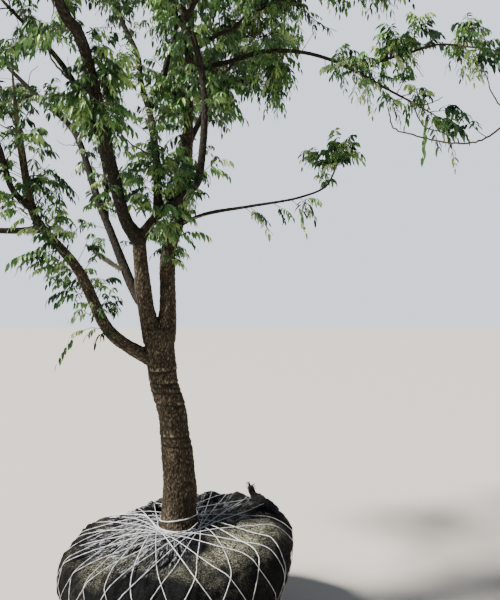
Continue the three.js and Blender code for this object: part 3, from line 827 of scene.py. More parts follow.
def in_sky_gap(place):
    """Whether a place lies in one of the gaps, as the camera sees it. A few are let through."""
    right, back, up = np.array(place) - EYE
    depth = back * math.cos(TIP_UP) + up * math.sin(TIP_UP)
    lift = up * math.cos(TIP_UP) - back * math.sin(TIP_UP)
    across = PHOTO_MIDDLE[0] + PHOTO_FOCUS * right / depth
    down = PHOTO_MIDDLE[1] - PHOTO_FOCUS * lift / depth
    inside = any(
        ((across - middle[0]) / half[0]) ** 2 + ((down - middle[1]) / half[1]) ** 2 < 1
        for middle, half in SKY_GAPS
    )
    return inside and random.random() > GAP_KEEPS


def between(line, share):
    """The point at a share of the way along a line."""
    return np.array([np.interp(share, np.linspace(0, 1, len(line)), line[:, axis]) for axis in range(3)])


def arc(start, leave, end, arrive, count):
    """A bending line from one point to another, with the directions it leaves and arrives by."""
    t = np.linspace(0, 1, count)[:, None]
    reach = np.linalg.norm(end - start)
    return (
        (2 * t**3 - 3 * t**2 + 1) * start + (t**3 - 2 * t**2 + t) * leave * reach
        + (3 * t**2 - 2 * t**3) * end + (t**3 - t**2) * arrive * reach
    )


def add_sprays(line, count, length, first):
    """Sprays leave a twig by turns on each side, and one leads on from its tip."""
    turn = random.uniform(0, 2 * math.pi)
    for i in range(count):
        share = first + (1 - first) * (i + 1) / count
        index = min(len(line) - 2, int(share * (len(line) - 1)))
        ahead = unit(line[index + 1] - line[index])
        side = unit(np.cross(ahead, NEARLY_UP))
        over = np.cross(side, ahead)
        turn += SPRAY_TURN
        lean = TIP_LEAN if i == count - 1 else random.uniform(*SIDE_LEAN)
        outward = math.cos(turn) * side + math.sin(turn) * over
        heading = unit(ahead + lean * outward + SPRAY_LIFT)
        start = between(line, share)
        size = length * random.uniform(*SPRAY_VARIES)
        if not in_sky_gap(start + size * (SPRAY_REACH * heading - SPRAY_SAG)):
            sprays.append((start, heading, size))


def grow_twig(start, leave, end, base, count, spray_length):
    """A twig with its sprays, where there is no gap."""
    if in_sky_gap(end):
        return
    wander = random.normal(0, TWIG_WANDER, 3)
    line = arc(start, leave + wander, end, unit(end - start) + wander + TWIG_LIFT, 6)
    twig_tubes.append(tapered(line, base, TWIG_TIP, 5))
    add_sprays(line, count, spray_length, first=TWIG_LEAFY_FROM)


def grow_side_bough(limb, order, target):
    """The line of a side bough from one of a limb's nearer places to a target."""
    points = limb["line"]
    reach = np.linalg.norm(points[order] - target, axis=1) + FOOT_PULL * limb["run"][order][::-1]
    index = order[np.argmin(np.abs(reach - np.quantile(reach, random.uniform(*BOUGH_CHOICE))))]
    start = points[index]
    ahead = unit(points[min(index + 1, len(points) - 1)] - points[max(index - 1, 0)])
    length = np.linalg.norm(target - start)
    base = min(limb["radius"][index] * BOUGH_THICKEST, BOUGH_BASE + BOUGH_GROWTH * length)
    leave, arrive = unit(ahead + unit(target - start)), unit(target - start + TWIG_LIFT)
    line = arc(start, leave, target, arrive, BOUGH_POINTS)
    bend = BOUGH_BEND * min(1, length / BOUGH_STRAIGHT)
    line[1:-1] += random.normal(0, bend, (BOUGH_POINTS - 2, 3))
    twig_tubes.append(tapered(line, base, BOUGH_TIP, 6))
    return line


def fill_mass(node, limb_name, density):
    """Side boughs, twigs and sprays that fill the space of one mass from its limb."""
    low, high = (np.array(corner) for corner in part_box(node))
    half = (high - low) / 2
    centre = (low + high) / 2
    centre[2] += SPRAY_HANG
    half[2] -= SPRAY_HANG
    limb = limbs[limb_name]
    inside = np.linalg.norm((limb["line"] - centre) / half, axis=1)
    order = np.flatnonzero(inside < max(LIMB_NEAR, inside.min() + LIMB_SLACK))
    wanted = SPRAY_RATE * density * np.prod(high - low) ** (2 / 3)
    count = max(3, round(wanted / TWIGS_PER_BOUGH / SPRAYS_PER_TWIG))
    twigs_each = max(2, round(wanted / count / SPRAYS_PER_TWIG))
    spray_length = float(np.clip(SPRAY_SHARE * half.min(), *SPRAY_LENGTH))
    start_turn = random.uniform(0, 2 * math.pi)
    steps = BOUGH_POINTS - 1
    for i in range(count):
        level = 1 - 2 * (i + 0.5) / count
        turn = start_turn + i * GOLDEN_TURN
        ring = math.sqrt(1 - level * level)
        direction = np.array((ring * math.cos(turn), ring * math.sin(turn), level))
        direction += random.normal(0, BOUGH_SCATTER, 3)
        target = centre + unit(direction) * half * random.uniform(*BOUGH_REACH)
        line = grow_side_bough(limb, order, target)
        for j in range(twigs_each):
            share = TWIG_FROM + TWIG_SPAN * (j + 0.5) / twigs_each
            spot = between(line, share)
            ahead = unit(line[min(steps, int(share * steps) + 1)] - line[int(share * steps)])
            outward = ahead * TWIG_AHEAD + random.normal(0, TWIG_SCATTER, 3)
            outward = unit(outward + TWIG_OUTWARD * (spot - centre) / half)
            end = spot + outward * random.uniform(*TWIG_REACH) * min(TWIG_LONGEST, TWIG_SHARE * half.min())
            beyond = np.linalg.norm((end - centre) / half)
            if beyond > TWIG_LIMIT:
                end = centre + (end - centre) * TWIG_LIMIT / beyond
            if np.linalg.norm(end - spot) > TWIG_LEAST:
                grow_twig(spot, outward, end, TWIG_GIRTH, SPRAYS_PER_TWIG, spray_length)
        add_sprays(line, 3, spray_length, first=0.5)


def grow_single(twigs):
    """The tubes of single twigs, which also get their sprays."""
    tubes = []
    for name, (parent, along, girths, legs, count) in twigs.items():
        limbs[name] = grown_limb(parent, along, girths, legs)
        line, radius = limbs[name]["line"], limbs[name]["radius"]
        line[1:] += random.normal(0, SINGLE_BEND, (len(line) - 1, 3))
        tubes.append(tube(line, radius, 7))
        if count:
            add_sprays(line, count, SINGLE_SPRAY, first=SINGLE_LEAFY_FROM)
    return tubes


for node, (limb_name, density) in MASSES.items():
    fill_mass(node, limb_name, density)
for limb_name, first, last, count, length in SHOOTS:
    limb = limbs[limb_name]
    for i in range(count):
        along = first + (last - first) * (i + random.uniform(0, 1)) / count
        start = point_at(limb, along)
        ahead = unit(point_at(limb, along + 0.02) - start)
        outward = random.normal(0, 1, 3)
        outward = unit(unit(outward - ahead * (outward @ ahead)) + SHOOT_LEAN * ahead + SHOOT_LIFT)
        end = start + outward * length * random.uniform(*SHOOT_VARIES)
        own_count = random.integers(*SHOOT_SPRAYS)
        grow_twig(start, outward, end, SHOOT_GIRTH, own_count, random.uniform(*SHOOT_LEAFY))

# Every limb runs on past its cut end as a thin leader.
for limb_name in LIMBS:
    if limb_name in ("trunk", "left_stem"):
        continue
    line, radius = limbs[limb_name]["line"], limbs[limb_name]["radius"]
    ahead = unit(line[-1] - line[-4])
    length = LEADER_LEAST + LEADER_GROWTH * radius[-1]
    end = line[-1] + length * unit(ahead + TWIG_LIFT + random.normal(0, LEADER_BEND, 3))
    leader = arc(line[-3], ahead, end, unit(end - line[-1]), LEADER_POINTS)
    twig_tubes.append(tapered(leader, LEADER_BASE * radius[-1], LEADER_TIP, 10))
    add_sprays(leader, 5, LEADER_SPRAY, first=LEADER_LEAFY_FROM)
    for share in LEADER_TWIGS:
        outward = unit(ahead + random.normal(0, TWIG_SCATTER, 3))
        start = between(leader, share)
        end = start + outward * LEADER_TWIG_SHARE * length
        grow_twig(start, outward, end, LEADER_TWIG_GIRTH, 3, LEADER_SPRAY)
twig_tubes += grow_single(TWIGS)
pale_tubes = grow_single(PALE_TWIGS)

# Leaflets
# Thin lance-shaped blades, folded a little along the midrib and bent down to the tip. Each spray has one
# colour, so that light and dark sprays lie side by side: the deep colour is painted shade, the bright one
# painted sunlight and the pale one paler undersides with painted glints.
starts, headings, lengths = (np.array([spray[i] for spray in sprays]) for i in range(3))
DROOP = 0.55
STALK_GIRTHS = (0.0010, 0.0005)
FIRST_PAIR, PAIRS_SPAN = 0.16, 0.84
LEAF_MOTTLE = (0.78, 1.18)
LEAFLET_SHARE, LEAFLET_BULGE = 0.41, 0.05
LEAFLET_VARIES = (0.8, 1.25)
LEAFLET_LENGTH = (0.030, 0.062)
LEAFLET_WIDTH = (0.85, 1.2)
# How far a leaflet points ahead, to its side and down, how its face tilts, and how many are lost.
PAIR_AHEAD, TIP_AHEAD = 0.35, 0.9
PAIR_ASIDE = 0.62
LEAFLET_HANG, LEAFLET_SCATTER = (0.45, 1.0), 0.16
FACE_TILT, FACE_SCATTER = 0.5, 0.3
LEAFLETS_LOST = 0.08
LEAF_COLORS = {
    "leaves_painted_shade": ((0.012, 0.045, 0.014), 0.24),
    "leaves_green": ((0.045, 0.128, 0.036), 0.27),
    "leaves_fresh": ((0.104, 0.226, 0.060), 0.25),
    "leaves_painted_sunlight": ((0.240, 0.385, 0.112), 0.16),
    "leaves_pale_and_glint": ((0.345, 0.460, 0.240), 0.08),
}
shades = random.choice(len(LEAF_COLORS), len(sprays), p=[share for _, share in LEAF_COLORS.values()])
stem_steps = np.linspace(0, 1, 4)
stem_lines = starts[:, None] + lengths[:, None, None] * (
    headings[:, None] * stem_steps[None, :, None] - UP * (DROOP * stem_steps**2)[None, :, None]
)
stalk_tubes = [tapered(line, *STALK_GIRTHS, 3) for line in stem_lines]

leaf_rows = []
for pair in range(SPRAY_PAIRS + 1):
    share = FIRST_PAIR + PAIRS_SPAN * pair / SPRAY_PAIRS
    spot = starts + lengths[:, None] * (headings * share - UP * DROOP * share**2)
    ahead = unit(headings - 2 * DROOP * share * UP)
    side = unit(np.cross(ahead, UP) + 1e-4)
    for hand in ((-1, 1) if pair < SPRAY_PAIRS else (0,)):
        part = LEAFLET_SHARE + LEAFLET_BULGE * math.sin(math.pi * share)
        size = np.clip(random.uniform(*LEAFLET_VARIES, len(sprays)) * part * lengths, *LEAFLET_LENGTH)
        hang = random.uniform(*LEAFLET_HANG, len(sprays))[:, None]
        point = (PAIR_AHEAD if hand else TIP_AHEAD) * ahead + PAIR_ASIDE * hand * side - UP * hang
        point = unit(point + random.normal(0, LEAFLET_SCATTER, (len(sprays), 3)))
        face = UP + FACE_TILT * hand * side + random.normal(0, FACE_SCATTER, (len(sprays), 3))
        face = unit(face - point * np.sum(face * point, axis=1)[:, None])
        kept = random.random(len(sprays)) > LEAFLETS_LOST
        leaf_rows.append((spot[kept], point[kept], face[kept], size[kept], shades[kept]))
spot, point, face, size, shade = (np.concatenate([row[i] for row in leaf_rows]) for i in range(5))

# Where a blade's corners lie: along it, across it and above it, as shares of its length.
BLADE = np.array((
    (0.00, 0.00, 0.000), (0.30, 0.00, 0.020), (0.68, 0.00, -0.02), (1.00, 0.00, -0.14),
    (0.30, -0.145, 0.055), (0.68, -0.112, 0.010), (0.30, 0.145, 0.055), (0.68, 0.112, 0.010),
))
BLADE_FACES = ((0, 4, 1), (0, 1, 6), (4, 5, 2, 1), (1, 2, 7, 6), (5, 3, 2), (2, 3, 7))


def leaf_look():
    """A leaf's colour, mottled a little from leaf to leaf."""
    tree, given, out = new_group("leaf_look", ("Deep", "Light"), ("Color",))
    mottle = band_of(tree, grain_noise(tree, place_on(tree), 60, 2.0), 0.3, 0.7)
    tree.links.new(blend_colors(tree, mottle, given["Deep"], given["Light"]), out["Color"])
    return tree


leaf_group = leaf_look()
for index, (name, (color, _)) in enumerate(LEAF_COLORS.items()):
    mine = shade == index
    across = np.cross(point[mine], face[mine])
    width = random.uniform(*LEAFLET_WIDTH, mine.sum())[:, None, None]
    corners = spot[mine][:, None] + size[mine][:, None, None] * (
        BLADE[None, :, :1] * point[mine][:, None]
        + BLADE[None, :, 1:2] * width * across[:, None]
        + BLADE[None, :, 2:] * face[mine][:, None]
    )
    offsets = np.arange(mine.sum()) * len(BLADE)
    blades = [[corner + offset for corner in shape] for offset in offsets.tolist() for shape in BLADE_FACES]
    leaves = new_piece(name, corners, blades)
    tones = [tuple(share * c for c in color) for share in LEAF_MOTTLE]
    leaves.data.materials.append(look_material(name, leaf_group, tones, roughness=0.40))
    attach(leaves, "root")
    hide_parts(*MASSES)


def twig_look():
    """Young twig bark, one colour or the other by turns along the twigs."""
    tree, given, out = new_group("twig_look", ("Brown", "Green"), ("Color", "Height"))
    place = place_on(tree)
    share = band_of(tree, grain_noise(tree, place, 14, 3.0), 0.4, 0.6)
    tree.links.new(blend_colors(tree, share, given["Brown"], given["Green"]), out["Color"])
    tree.links.new(grain_noise(tree, place, 260, 2.0), out["Height"])
    return tree


twig_group = twig_look()
TWIG_FINISH = {"roughness": 0.7, "bump_strength": 0.4, "bump_depth": 0.0008}
for name, tubes, tones in (
    ("twigs", twig_tubes, ((0.040, 0.032, 0.022), (0.085, 0.085, 0.035))),
    ("pale_twigs", pale_tubes, ((0.150, 0.125, 0.095), (0.300, 0.270, 0.220))),
    ("leaf_stalks", stalk_tubes, ((0.075, 0.090, 0.025), (0.150, 0.170, 0.050))),
):
    twigs = joined_mesh(name, tubes)
    twigs.data.materials.append(look_material(name, twig_group, tones, **TWIG_FINISH))
    shade_smooth(twigs)
    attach(twigs, "root")

# Root ball
# A bowl of packed soil in black woven shade net. The net is gathered up over the top and lies there
# in pleats towards the trunk, with a bunched hump behind and a rolled end on the left.
NET_VOXEL = 0.0066
HEART = np.array((0.0, 0.0, 0.28))
# Rolled and bunched lumps of net on the top: the middle and the half size of each.
BUNCHES = (
    ((-0.150, 0.226, 0.532), (0.040, 0.034, 0.036)),
    ((-0.196, 0.214, 0.516), (0.034, 0.030, 0.018)),
    ((0.125, 0.372, 0.528), (0.080, 0.060, 0.040)),
    ((0.205, 0.352, 0.540), (0.085, 0.055, 0.038)),
    ((0.285, 0.325, 0.546), (0.080, 0.050, 0.034)),
)
# Hollows in the top, each with its place, width and depth, and creases with two ends and a depth.
HOLLOWS = (((0.055, -0.215), 0.065, 0.026), ((0.215, -0.150), 0.050, 0.010), ((-0.240, 0.020), 0.070, 0.008))
CREASES = (
    ((-0.280, -0.285), (-0.120, -0.195), 0.016), ((-0.200, -0.290), (-0.060, -0.170), 0.010),
    ((0.020, -0.200), (0.090, -0.185), 0.012), ((-0.345, -0.150), (-0.190, -0.090), 0.009),
    ((0.130, 0.290), (0.090, 0.150), 0.012), ((0.330, 0.270), (0.170, 0.120), 0.010),
)
CREASE_WIDTH = 0.012
# Where soil dust lies on the net, and where sunlit patches on the shoulders are painted with it, with its
# width and how thick it is. The last place, in the hollow before the trunk, has less: painted shade there.
DUST_AND_LIGHT_PATCHES = (
    ((0.290, -0.215), 0.125, 1.10), ((0.160, -0.320), 0.080, 0.65), ((0.000, -0.410), 0.070, 0.45),
    ((-0.320, -0.320), 0.090, 0.40), ((0.400, -0.030), 0.110, 0.85), ((0.250, 0.040), 0.110, 0.75),
    ((0.055, -0.215), 0.090, -1.00),
)
DUST_EVERYWHERE = 0.03
# Where the flank is tucked in: the heading, how far, below what height, and over what drop.
TUCKS = ((-15, 0.055, 0.34, 0.16), (198, 0.050, 0.36, 0.20))
# The shoulder is fuller towards the right and the back.
FULL = 0.050
FULL_HEIGHT, FULL_RISE = 0.480, 0.075
FULL_TURN, FULL_SPREAD = math.radians(18), 0.55
FULL_REACH = 0.45
# Pleats run outward over the top and folds down the flank: how many there are to a turn, how long
# they are, how far they lift the net and how deep they cut into it.
PLEATS = (7.0, 0.30, 0.008, 0.022)
FINE_PLEATS = (17.0, 0.16, 0.005, 0.014)
FOLDS = (6.0, 0.30, 0.004, 0.014)
FOLD_WANDER, WANDER_SIZE = 0.10, 0.12
# The top begins and the flank ends at these upward shares of the normal. No pleat nears the trunk.
TOP_FROM, TOP_OVER, FLANK_TO = 0.35, 0.4, 0.8
PLEATS_FROM, PLEATS_OVER = 0.10, 0.06
# Lumps in the soil: their size, their height and the seed of each.
SOIL_LUMPS = ((0.11, 0.012, 61), (0.045, 0.007, 62), (0.020, 0.0032, 63))
FOOT_FADE = 0.03


def away_from_line(points, first, second):
    """How far points in plan lie from a straight line between two places."""
    first, second = np.array(first), np.array(second)
    along = second - first
    share = np.clip((points - first) @ along / (along @ along), 0, 1)
    return np.linalg.norm(points - first - share[:, None] * along, axis=1)


def fold_lines(around, folds, run, seed):
    """How far each corner lies from a fold, for folds that follow a run outward or down."""
    return np.abs(lumps(np.column_stack([around * folds[0], run / folds[1]]), seed))


ball = frame["nodes"]["root_ball"].copy()
ball.data = ball.data.copy()
ball.name = "net_ball"
del ball["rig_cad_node"]
bpy.context.scene.collection.objects.link(ball)
pick(ball)
bpy.ops.object.mode_set(mode="EDIT")
bpy.ops.mesh.select_all(action="SELECT")
bpy.ops.mesh.remove_doubles(threshold=0.00005)
bpy.ops.object.mode_set(mode="OBJECT")
finish_with(ball, "SUBSURF", levels=2, render_levels=2)
bunches = []
for place, reach in BUNCHES:
    bpy.ops.mesh.primitive_ico_sphere_add(subdivisions=4, radius=1, location=place, scale=reach)
    bpy.ops.object.transform_apply(location=True, scale=True)
    bunches.append(bpy.context.object)
pick(ball)
for bunch in bunches:
    bunch.select_set(True)
bpy.ops.object.join()
finish_with(ball, "REMESH", mode="VOXEL", voxel_size=NET_VOXEL, use_smooth_shade=True)
finish_with(ball, "SMOOTH", factor=0.5, iterations=3)
points, facing = skin_of(ball)
plan = points[:, :2] - TRUNK_FOOT[:2]
reach = np.linalg.norm(plan, axis=1)
turn = np.arctan2(plan[:, 1], plan[:, 0])
top = np.clip((facing[:, 2] - TOP_FROM) / TOP_OVER, 0, 1) * np.clip((reach - PLEATS_FROM) / PLEATS_OVER, 0, 1)
flank = np.clip(1 - np.abs(facing[:, 2]) / FLANK_TO, 0, 1)
round_about = np.column_stack([np.cos(turn), np.sin(turn)])
around = round_about + FOLD_WANDER * lumps(points / WANDER_SIZE, 55)[:, None]
pleats = fold_lines(around, PLEATS, reach, 51)
fine_pleats = fold_lines(around, FINE_PLEATS, reach, 52)
folds = fold_lines(around, FOLDS, points[:, 2], 53)
rise = top * (PLEATS[2] - PLEATS[3] * pleats + FINE_PLEATS[2] - FINE_PLEATS[3] * fine_pleats)
rise += flank * (FOLDS[2] - FOLDS[3] * folds)
rise += sum(height * lumps(points / size, seed) for size, height, seed in SOIL_LUMPS)
upward = np.clip(facing[:, 2], 0, 1)
for place, width, depth in HOLLOWS:
    gap = np.linalg.norm(points[:, :2] - place, axis=1)
    rise -= upward * depth * np.exp(-(gap / width) ** 2)
for first, second, depth in CREASES:
    gap = away_from_line(points[:, :2], first, second)
    rise -= upward * depth * np.exp(-(gap / CREASE_WIDTH) ** 2)
points += facing * (rise * np.clip(points[:, 2] / FOOT_FADE, 0, 1))[:, None]
tuck = np.zeros(len(points))
for heading, depth, below, drop in TUCKS:
    near = np.clip(np.cos(turn - math.radians(heading)), 0, 1) ** 2
    tuck += depth * np.clip((below - points[:, 2]) / drop, 0, 1) * near
off = ((points[:, 2] - FULL_HEIGHT) / FULL_RISE) ** 2
full = FULL * np.exp(-off - ((turn - FULL_TURN) / FULL_SPREAD) ** 2)
points[:, :2] += (full * np.clip(reach / FULL_REACH, 0, 1) ** 3 - tuck)[:, None] * round_about
points[:, 2] = np.maximum(points[:, 2], 0)
move_corners(ball, points)

# Lashing
# White twisted plastic twine. It starts in a wound cluster round the trunk's foot, and each run goes
# over the top, crosses its neighbour on the shoulder and goes on under the ball.
TWINE_RADIUS = 0.0017
TWINE_STEP = 0.008
# Where two runs cross on the shoulder: the heading, and how steep it lies above the ball's heart.
CROSSINGS = (
    (2, 12), (33, 15), (50, 16), (65, 17), (80, 18), (95, 17), (110, 18), (125, 17),
    (140, 18), (155, 17), (170, 16), (185, 15), (200, 15), (215, 16), (230, 16.5), (245, 18.8), (255.5, 22),
    (270, 23.8), (286, 25.7), (302, 22.8), (318, 22.4), (335, 11),
)
FOOT_REACH = 0.105
FOOT_LOW, FOOT_HIGH = 0.531, 0.553
TURN_IN, TURN_VARIES = 80, 9
WRAP = (8, 30)
RIM_LEAST, RIM_ABOVE, RIM_VARIES = 27.5, 7.5, 1.5
THICK_RADIUS, END_RADIUS, RING_RADIUS = 0.0034, 0.0020, 0.0028
SETTLE_STEPS = 400
# How many of its radii the middle of a twine lies above the net, and above the ground.
ABOVE_NET, ABOVE_GROUND = 0.35, 1.25
STRAND_OUT, STRAND_IN, STRAND_TWIST = 1.22, 0.86, 0.42
tree = BVHTree.FromPolygons([tuple(p) for p in points], [tuple(f.vertices) for f in ball.data.polygons])
lash = np.random.default_rng(31)


def toward(heading, steepness):
    """The direction from the ball's heart at a heading and a steepness in degrees."""
    heading, steepness = math.radians(heading), math.radians(steepness)
    level = math.cos(steepness)
    return np.array((level * math.cos(heading), level * math.sin(heading), math.sin(steepness)))


def on_ball(direction):
    """How far the ball's face lies from its heart in a direction."""
    hit = tree.ray_cast(Vector(HEART), Vector(direction))
    return hit[3] or 0.1


def skin_place(heading, steepness):
    """The place on the ball's face at a heading and a steepness."""
    direction = toward(heading, steepness)
    return HEART + direction * on_ball(direction)


def foot_place(heading, height, reach=FOOT_REACH):
    """A place beside the trunk's foot."""
    turn = math.radians(heading)
    return np.array((TRUNK_FOOT[0] + reach * math.cos(turn), reach * math.sin(turn), height))


def laid_taut(knots, radius, held):
    """A line pulled tight over the ball. Its first points are held where the knots put them."""
    line, run = smooth_line(knots, TWINE_STEP)
    directions = unit(line - HEART)
    own = np.linalg.norm(line - HEART, axis=1)
    skin = np.array([on_ball(direction) for direction in directions]) + ABOVE_NET * radius
    fixed = run < held
    reach = np.where(fixed, np.maximum(own, skin), skin)
    for _ in range(SETTLE_STEPS):
        reach[1:-1] = np.maximum(skin[1:-1], 0.5 * (reach[:-2] + reach[2:]))
        reach[fixed] = np.maximum(own, skin)[fixed]
    line = HEART + directions * reach[:, None]
    line[:, 2] = np.maximum(line[:, 2], ABOVE_GROUND * radius)
    return line


def twine(line, radius):
    """Three-stranded twine along a line."""
    radii = np.full((len(line), 6), radius)
    radii[:, ::2] *= STRAND_OUT
    radii[:, 1::2] *= STRAND_IN
    return tube(line, radii, 6, twist=STRAND_TWIST)


# Each run starts round the foot, rises to the rim and crosses on the shoulder. Then it goes down the
# flank and under the ball. On the way it lies aside of its crossing, by so many degrees of heading.
RIM_ASIDE = (3, 6)
BELOW_ASIDE, BELOW_DROP = (7, 8.5), 12
FLANK_ASIDE, FLANK_STEEPNESS = (20, 23), -12
UNDER_PLACES = ((31, -30), (37, -44))
runs = []
for heading, steepness in CROSSINGS:
    for hand in (-1, 1):
        start = heading + hand * (TURN_IN + lash.uniform(-TURN_VARIES, TURN_VARIES))
        height = lash.uniform(FOOT_LOW, FOOT_HIGH)
        wrap = hand * lash.uniform(*WRAP)
        leave = foot_place(start, height)
        shoulder = max(RIM_LEAST, steepness + RIM_ABOVE) + lash.uniform(-RIM_VARIES, RIM_VARIES)
        rim = skin_place(heading + hand * lash.uniform(*RIM_ASIDE), shoulder)
        knots = [
            foot_place(start + wrap, height - 0.002), foot_place(start + wrap / 2, height - 0.001), leave,
            leave + (rim - leave) / 3, leave + (rim - leave) * 0.67, rim,
            skin_place(heading, steepness),
            skin_place(heading - hand * lash.uniform(*BELOW_ASIDE), steepness - BELOW_DROP),
            skin_place(heading - hand * lash.uniform(*FLANK_ASIDE), FLANK_STEEPNESS),
            *(skin_place(heading - hand * aside, under) for aside, under in UNDER_PLACES),
        ]
        radius = TWINE_RADIUS * lash.uniform(0.85, 1.15)
        runs.append((laid_taut(knots, radius, 0.06 + abs(math.radians(wrap)) * FOOT_REACH), radius))

# Loose turns: a thick strand from the rim on the far left to the cluster, and a short end in front.
thick = [foot_place(250, 0.545), foot_place(215, 0.549, 0.112), foot_place(188, 0.552, 0.124),
         skin_place(153, 52), skin_place(150, 38), skin_place(149, 27), skin_place(147, 12)]
runs.append((laid_taut(thick, THICK_RADIUS, 0.05), THICK_RADIUS))
for turn, height in ((150, 0.541), (168, 0.549), (182, 0.544), (194, 0.552)):
    hug = [
        foot_place(turn + step * 20, height - 0.001 * step, 0.103 + 0.002 * (step % 2)) for step in range(6)
    ]
    runs.append((smooth_line(hug, TWINE_STEP)[0], TWINE_RADIUS))
end_twine = [foot_place(300, 0.547, 0.108), foot_place(316, 0.560, 0.108), foot_place(330, 0.574, 0.112)]
runs.append((smooth_line(end_twine, TWINE_STEP)[0], END_RADIUS))

# One turn of twine hugs the trunk a little above the others, and overlaps itself at the end.
RING_HEIGHT = 0.580
RING_TILT = np.array((0.012, -0.013, 0))
RING_LAP = 0.004
RING_CAST = 0.2
bark_tree = BVHTree.FromObject(bpy.data.objects["trunk_bark"], bpy.context.evaluated_depsgraph_get())
ring = []
for turn in range(0, 380, 10):
    angle = math.radians(turn)
    outward = np.array((math.cos(angle), math.sin(angle), 0))
    middle = np.array((TRUNK_FOOT[0], 0, RING_HEIGHT + RING_TILT @ outward))
    hit = bark_tree.ray_cast(Vector(middle + RING_CAST * outward), Vector(-outward))
    ring.append(middle + outward * (RING_CAST - hit[3] + RING_RADIUS + RING_LAP * (turn > 360)))
runs.append((smooth_line(ring, TWINE_STEP)[0], RING_RADIUS))

lashing = joined_mesh("lashing", [twine(line, radius) for line, radius in runs])
shade_smooth(lashing)
twine_finish, twine_tree, twine_shader = new_material("twine", (0.66, 0.69, 0.77), 0.42)
place = place_on(twine_tree)
low_down = band_of(twine_tree, height_of(twine_tree, place), 0.56, 0.34)
patchy = band_of(twine_tree, grain_noise(twine_tree, place, 9, 4.0), 0.50, 0.72)
soiled = reckoned(twine_tree, "MAXIMUM", low_down, patchy)
fibre = grain_noise(twine_tree, place, 900, 2.0)
clean = blend_colors(twine_tree, fibre, (0.55, 0.58, 0.66), (0.84, 0.86, 0.92))
color = blend_colors(twine_tree, soiled, clean, (0.29, 0.285, 0.27))
twine_tree.links.new(color, twine_shader.inputs["Base Color"])
add_bump(twine_tree, twine_shader, 0.6, 0.0008, fibre)
lashing.data.materials.append(twine_finish)
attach(lashing, "root")
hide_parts("rope_ring")

# The twine sinks a little into the net.
DENT_DEPTH, DENT_WIDTH = 0.0035, 0.011
laid = KDTree(sum(len(line) for line, _ in runs))
for index, spot in enumerate(itertools.chain.from_iterable(line for line, _ in runs)):
    laid.insert(spot, index)
laid.balance()
gap = np.array([laid.find(spot)[2] for spot in points])
dent = DENT_DEPTH * np.exp(-(gap / DENT_WIDTH) ** 2) * np.clip(points[:, 2] / FOOT_FADE, 0, 1)
points -= facing * dent[:, None]
points[:, 2] = np.maximum(points[:, 2], 0)
move_corners(ball, points)
# Ridges along the pleats carry a painted sheen, most of all in front and on the left.
RIDGE_RATE, FINE_RIDGE, RIDGE_EVERYWHERE = 2.6, 0.8, 0.34
sheen_ridges = np.clip(1 - RIDGE_RATE * pleats, 0, 1)
sheen_ridges += FINE_RIDGE * np.clip(1 - RIDGE_RATE * fine_pleats, 0, 1)
sheen_ridges = top * (sheen_ridges + RIDGE_EVERYWHERE) * np.clip((0.47 - reach) / 0.14, 0, 1)
sheen_ridges *= np.where(points[:, 1] < 0.05, np.clip(0.5 - plan[:, 0] / 0.25, 0.1, 1), 0.7)
store(ball, "sheen_ridge", sheen_ridges)
dust_and_light = DUST_EVERYWHERE + 0.35 * lumps(points / 0.15, 71) + 0.25 * lumps(points / 0.06, 72)
for place, width, share in DUST_AND_LIGHT_PATCHES:
    dust_and_light += share * np.exp(-(np.linalg.norm(points[:, :2] - place, axis=1) / width) ** 2)
# Lower down the mask fades, so the flank is darker: painted shade.
dust_and_light *= np.clip((points[:, 2] - 0.28) / 0.17, 0.15, 1)
store(ball, "dust_and_light", np.clip(dust_and_light, 0, 1))
store(ball, "flow", np.column_stack([round_about, reach * 0.5]))


def net_look():
    """Woven black plastic net with soil dust in it; the dust colour also paints sunlit patches, and a pale
    painted sheen lies on its pleat ridges.
    """
    tree, given, out = new_group("net_look", ("Dark", "Mid", "Dust_and_sunlight", "Painted_sheen"), ("Color", "Height"))
    place = place_on(tree)
    values = {"Vector": place, "Scale": 210, "Randomness": 0.45}
    holes = add_node(tree, "ShaderNodeTexVoronoi", values, feature="DISTANCE_TO_EDGE").outputs["Distance"]
    weave = band_of(tree, holes, 0.02, 0.22)
    speckle = band_of(tree, grain_noise(tree, place, 150, 5.0), 0.36, 0.62)
    faces = add_node(tree, "ShaderNodeNewGeometry").outputs["Normal"]
    upward = band_of(tree, height_of(tree, faces), 0.05, 0.85)
    # Dust settles on upward faces; the sides kept darker are painted shade too.
    settled_and_lit = reckoned(tree, "MULTIPLY", stored(tree, "dust_and_light"), upward)
    sheen_streaks = band_of(tree, grain_noise(tree, stored(tree, "flow", "Vector"), 60, 4.0), 0.47, 0.60)
    # Painted sheen: pale streaks along the pleat ridges, strongest on upward faces.
    lightened = reckoned(tree, "MULTIPLY", reckoned(tree, "MULTIPLY", stored(tree, "sheen_ridge"), sheen_streaks), upward)
    ground = blend_colors(tree, settled_and_lit, given["Mid"], given["Dust_and_sunlight"])
    flecked = blend_colors(tree, speckle, given["Dark"], ground)
    flecked = blend_colors(tree, band_of(tree, lightened, 0.10, 0.9), flecked, given["Painted_sheen"])
    tree.links.new(blend_colors(tree, weave, flecked, given["Dark"]), out["Color"])
    tree.links.new(reckoned(tree, "SUBTRACT", 1.0, weave), out["Height"])
    return tree


net_group = net_look()
# The dusty colour also paints sunlit patches, and the last, pale bluish one is a painted sheen.
net_colors = ((0.003, 0.0033, 0.0036), (0.014, 0.015, 0.0165), (0.52, 0.507, 0.390), (0.76, 0.79, 0.86))
NET_BUMP = {"bump_strength": 0.8, "bump_depth": 0.0018}
net_finish = look_material("shade_net", net_group, net_colors, roughness=0.82, specular=0.06, **NET_BUMP)
ball.data.materials.clear()
ball.data.materials.append(net_finish)
shade_smooth(ball)
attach(ball, "root")
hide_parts("root_ball")

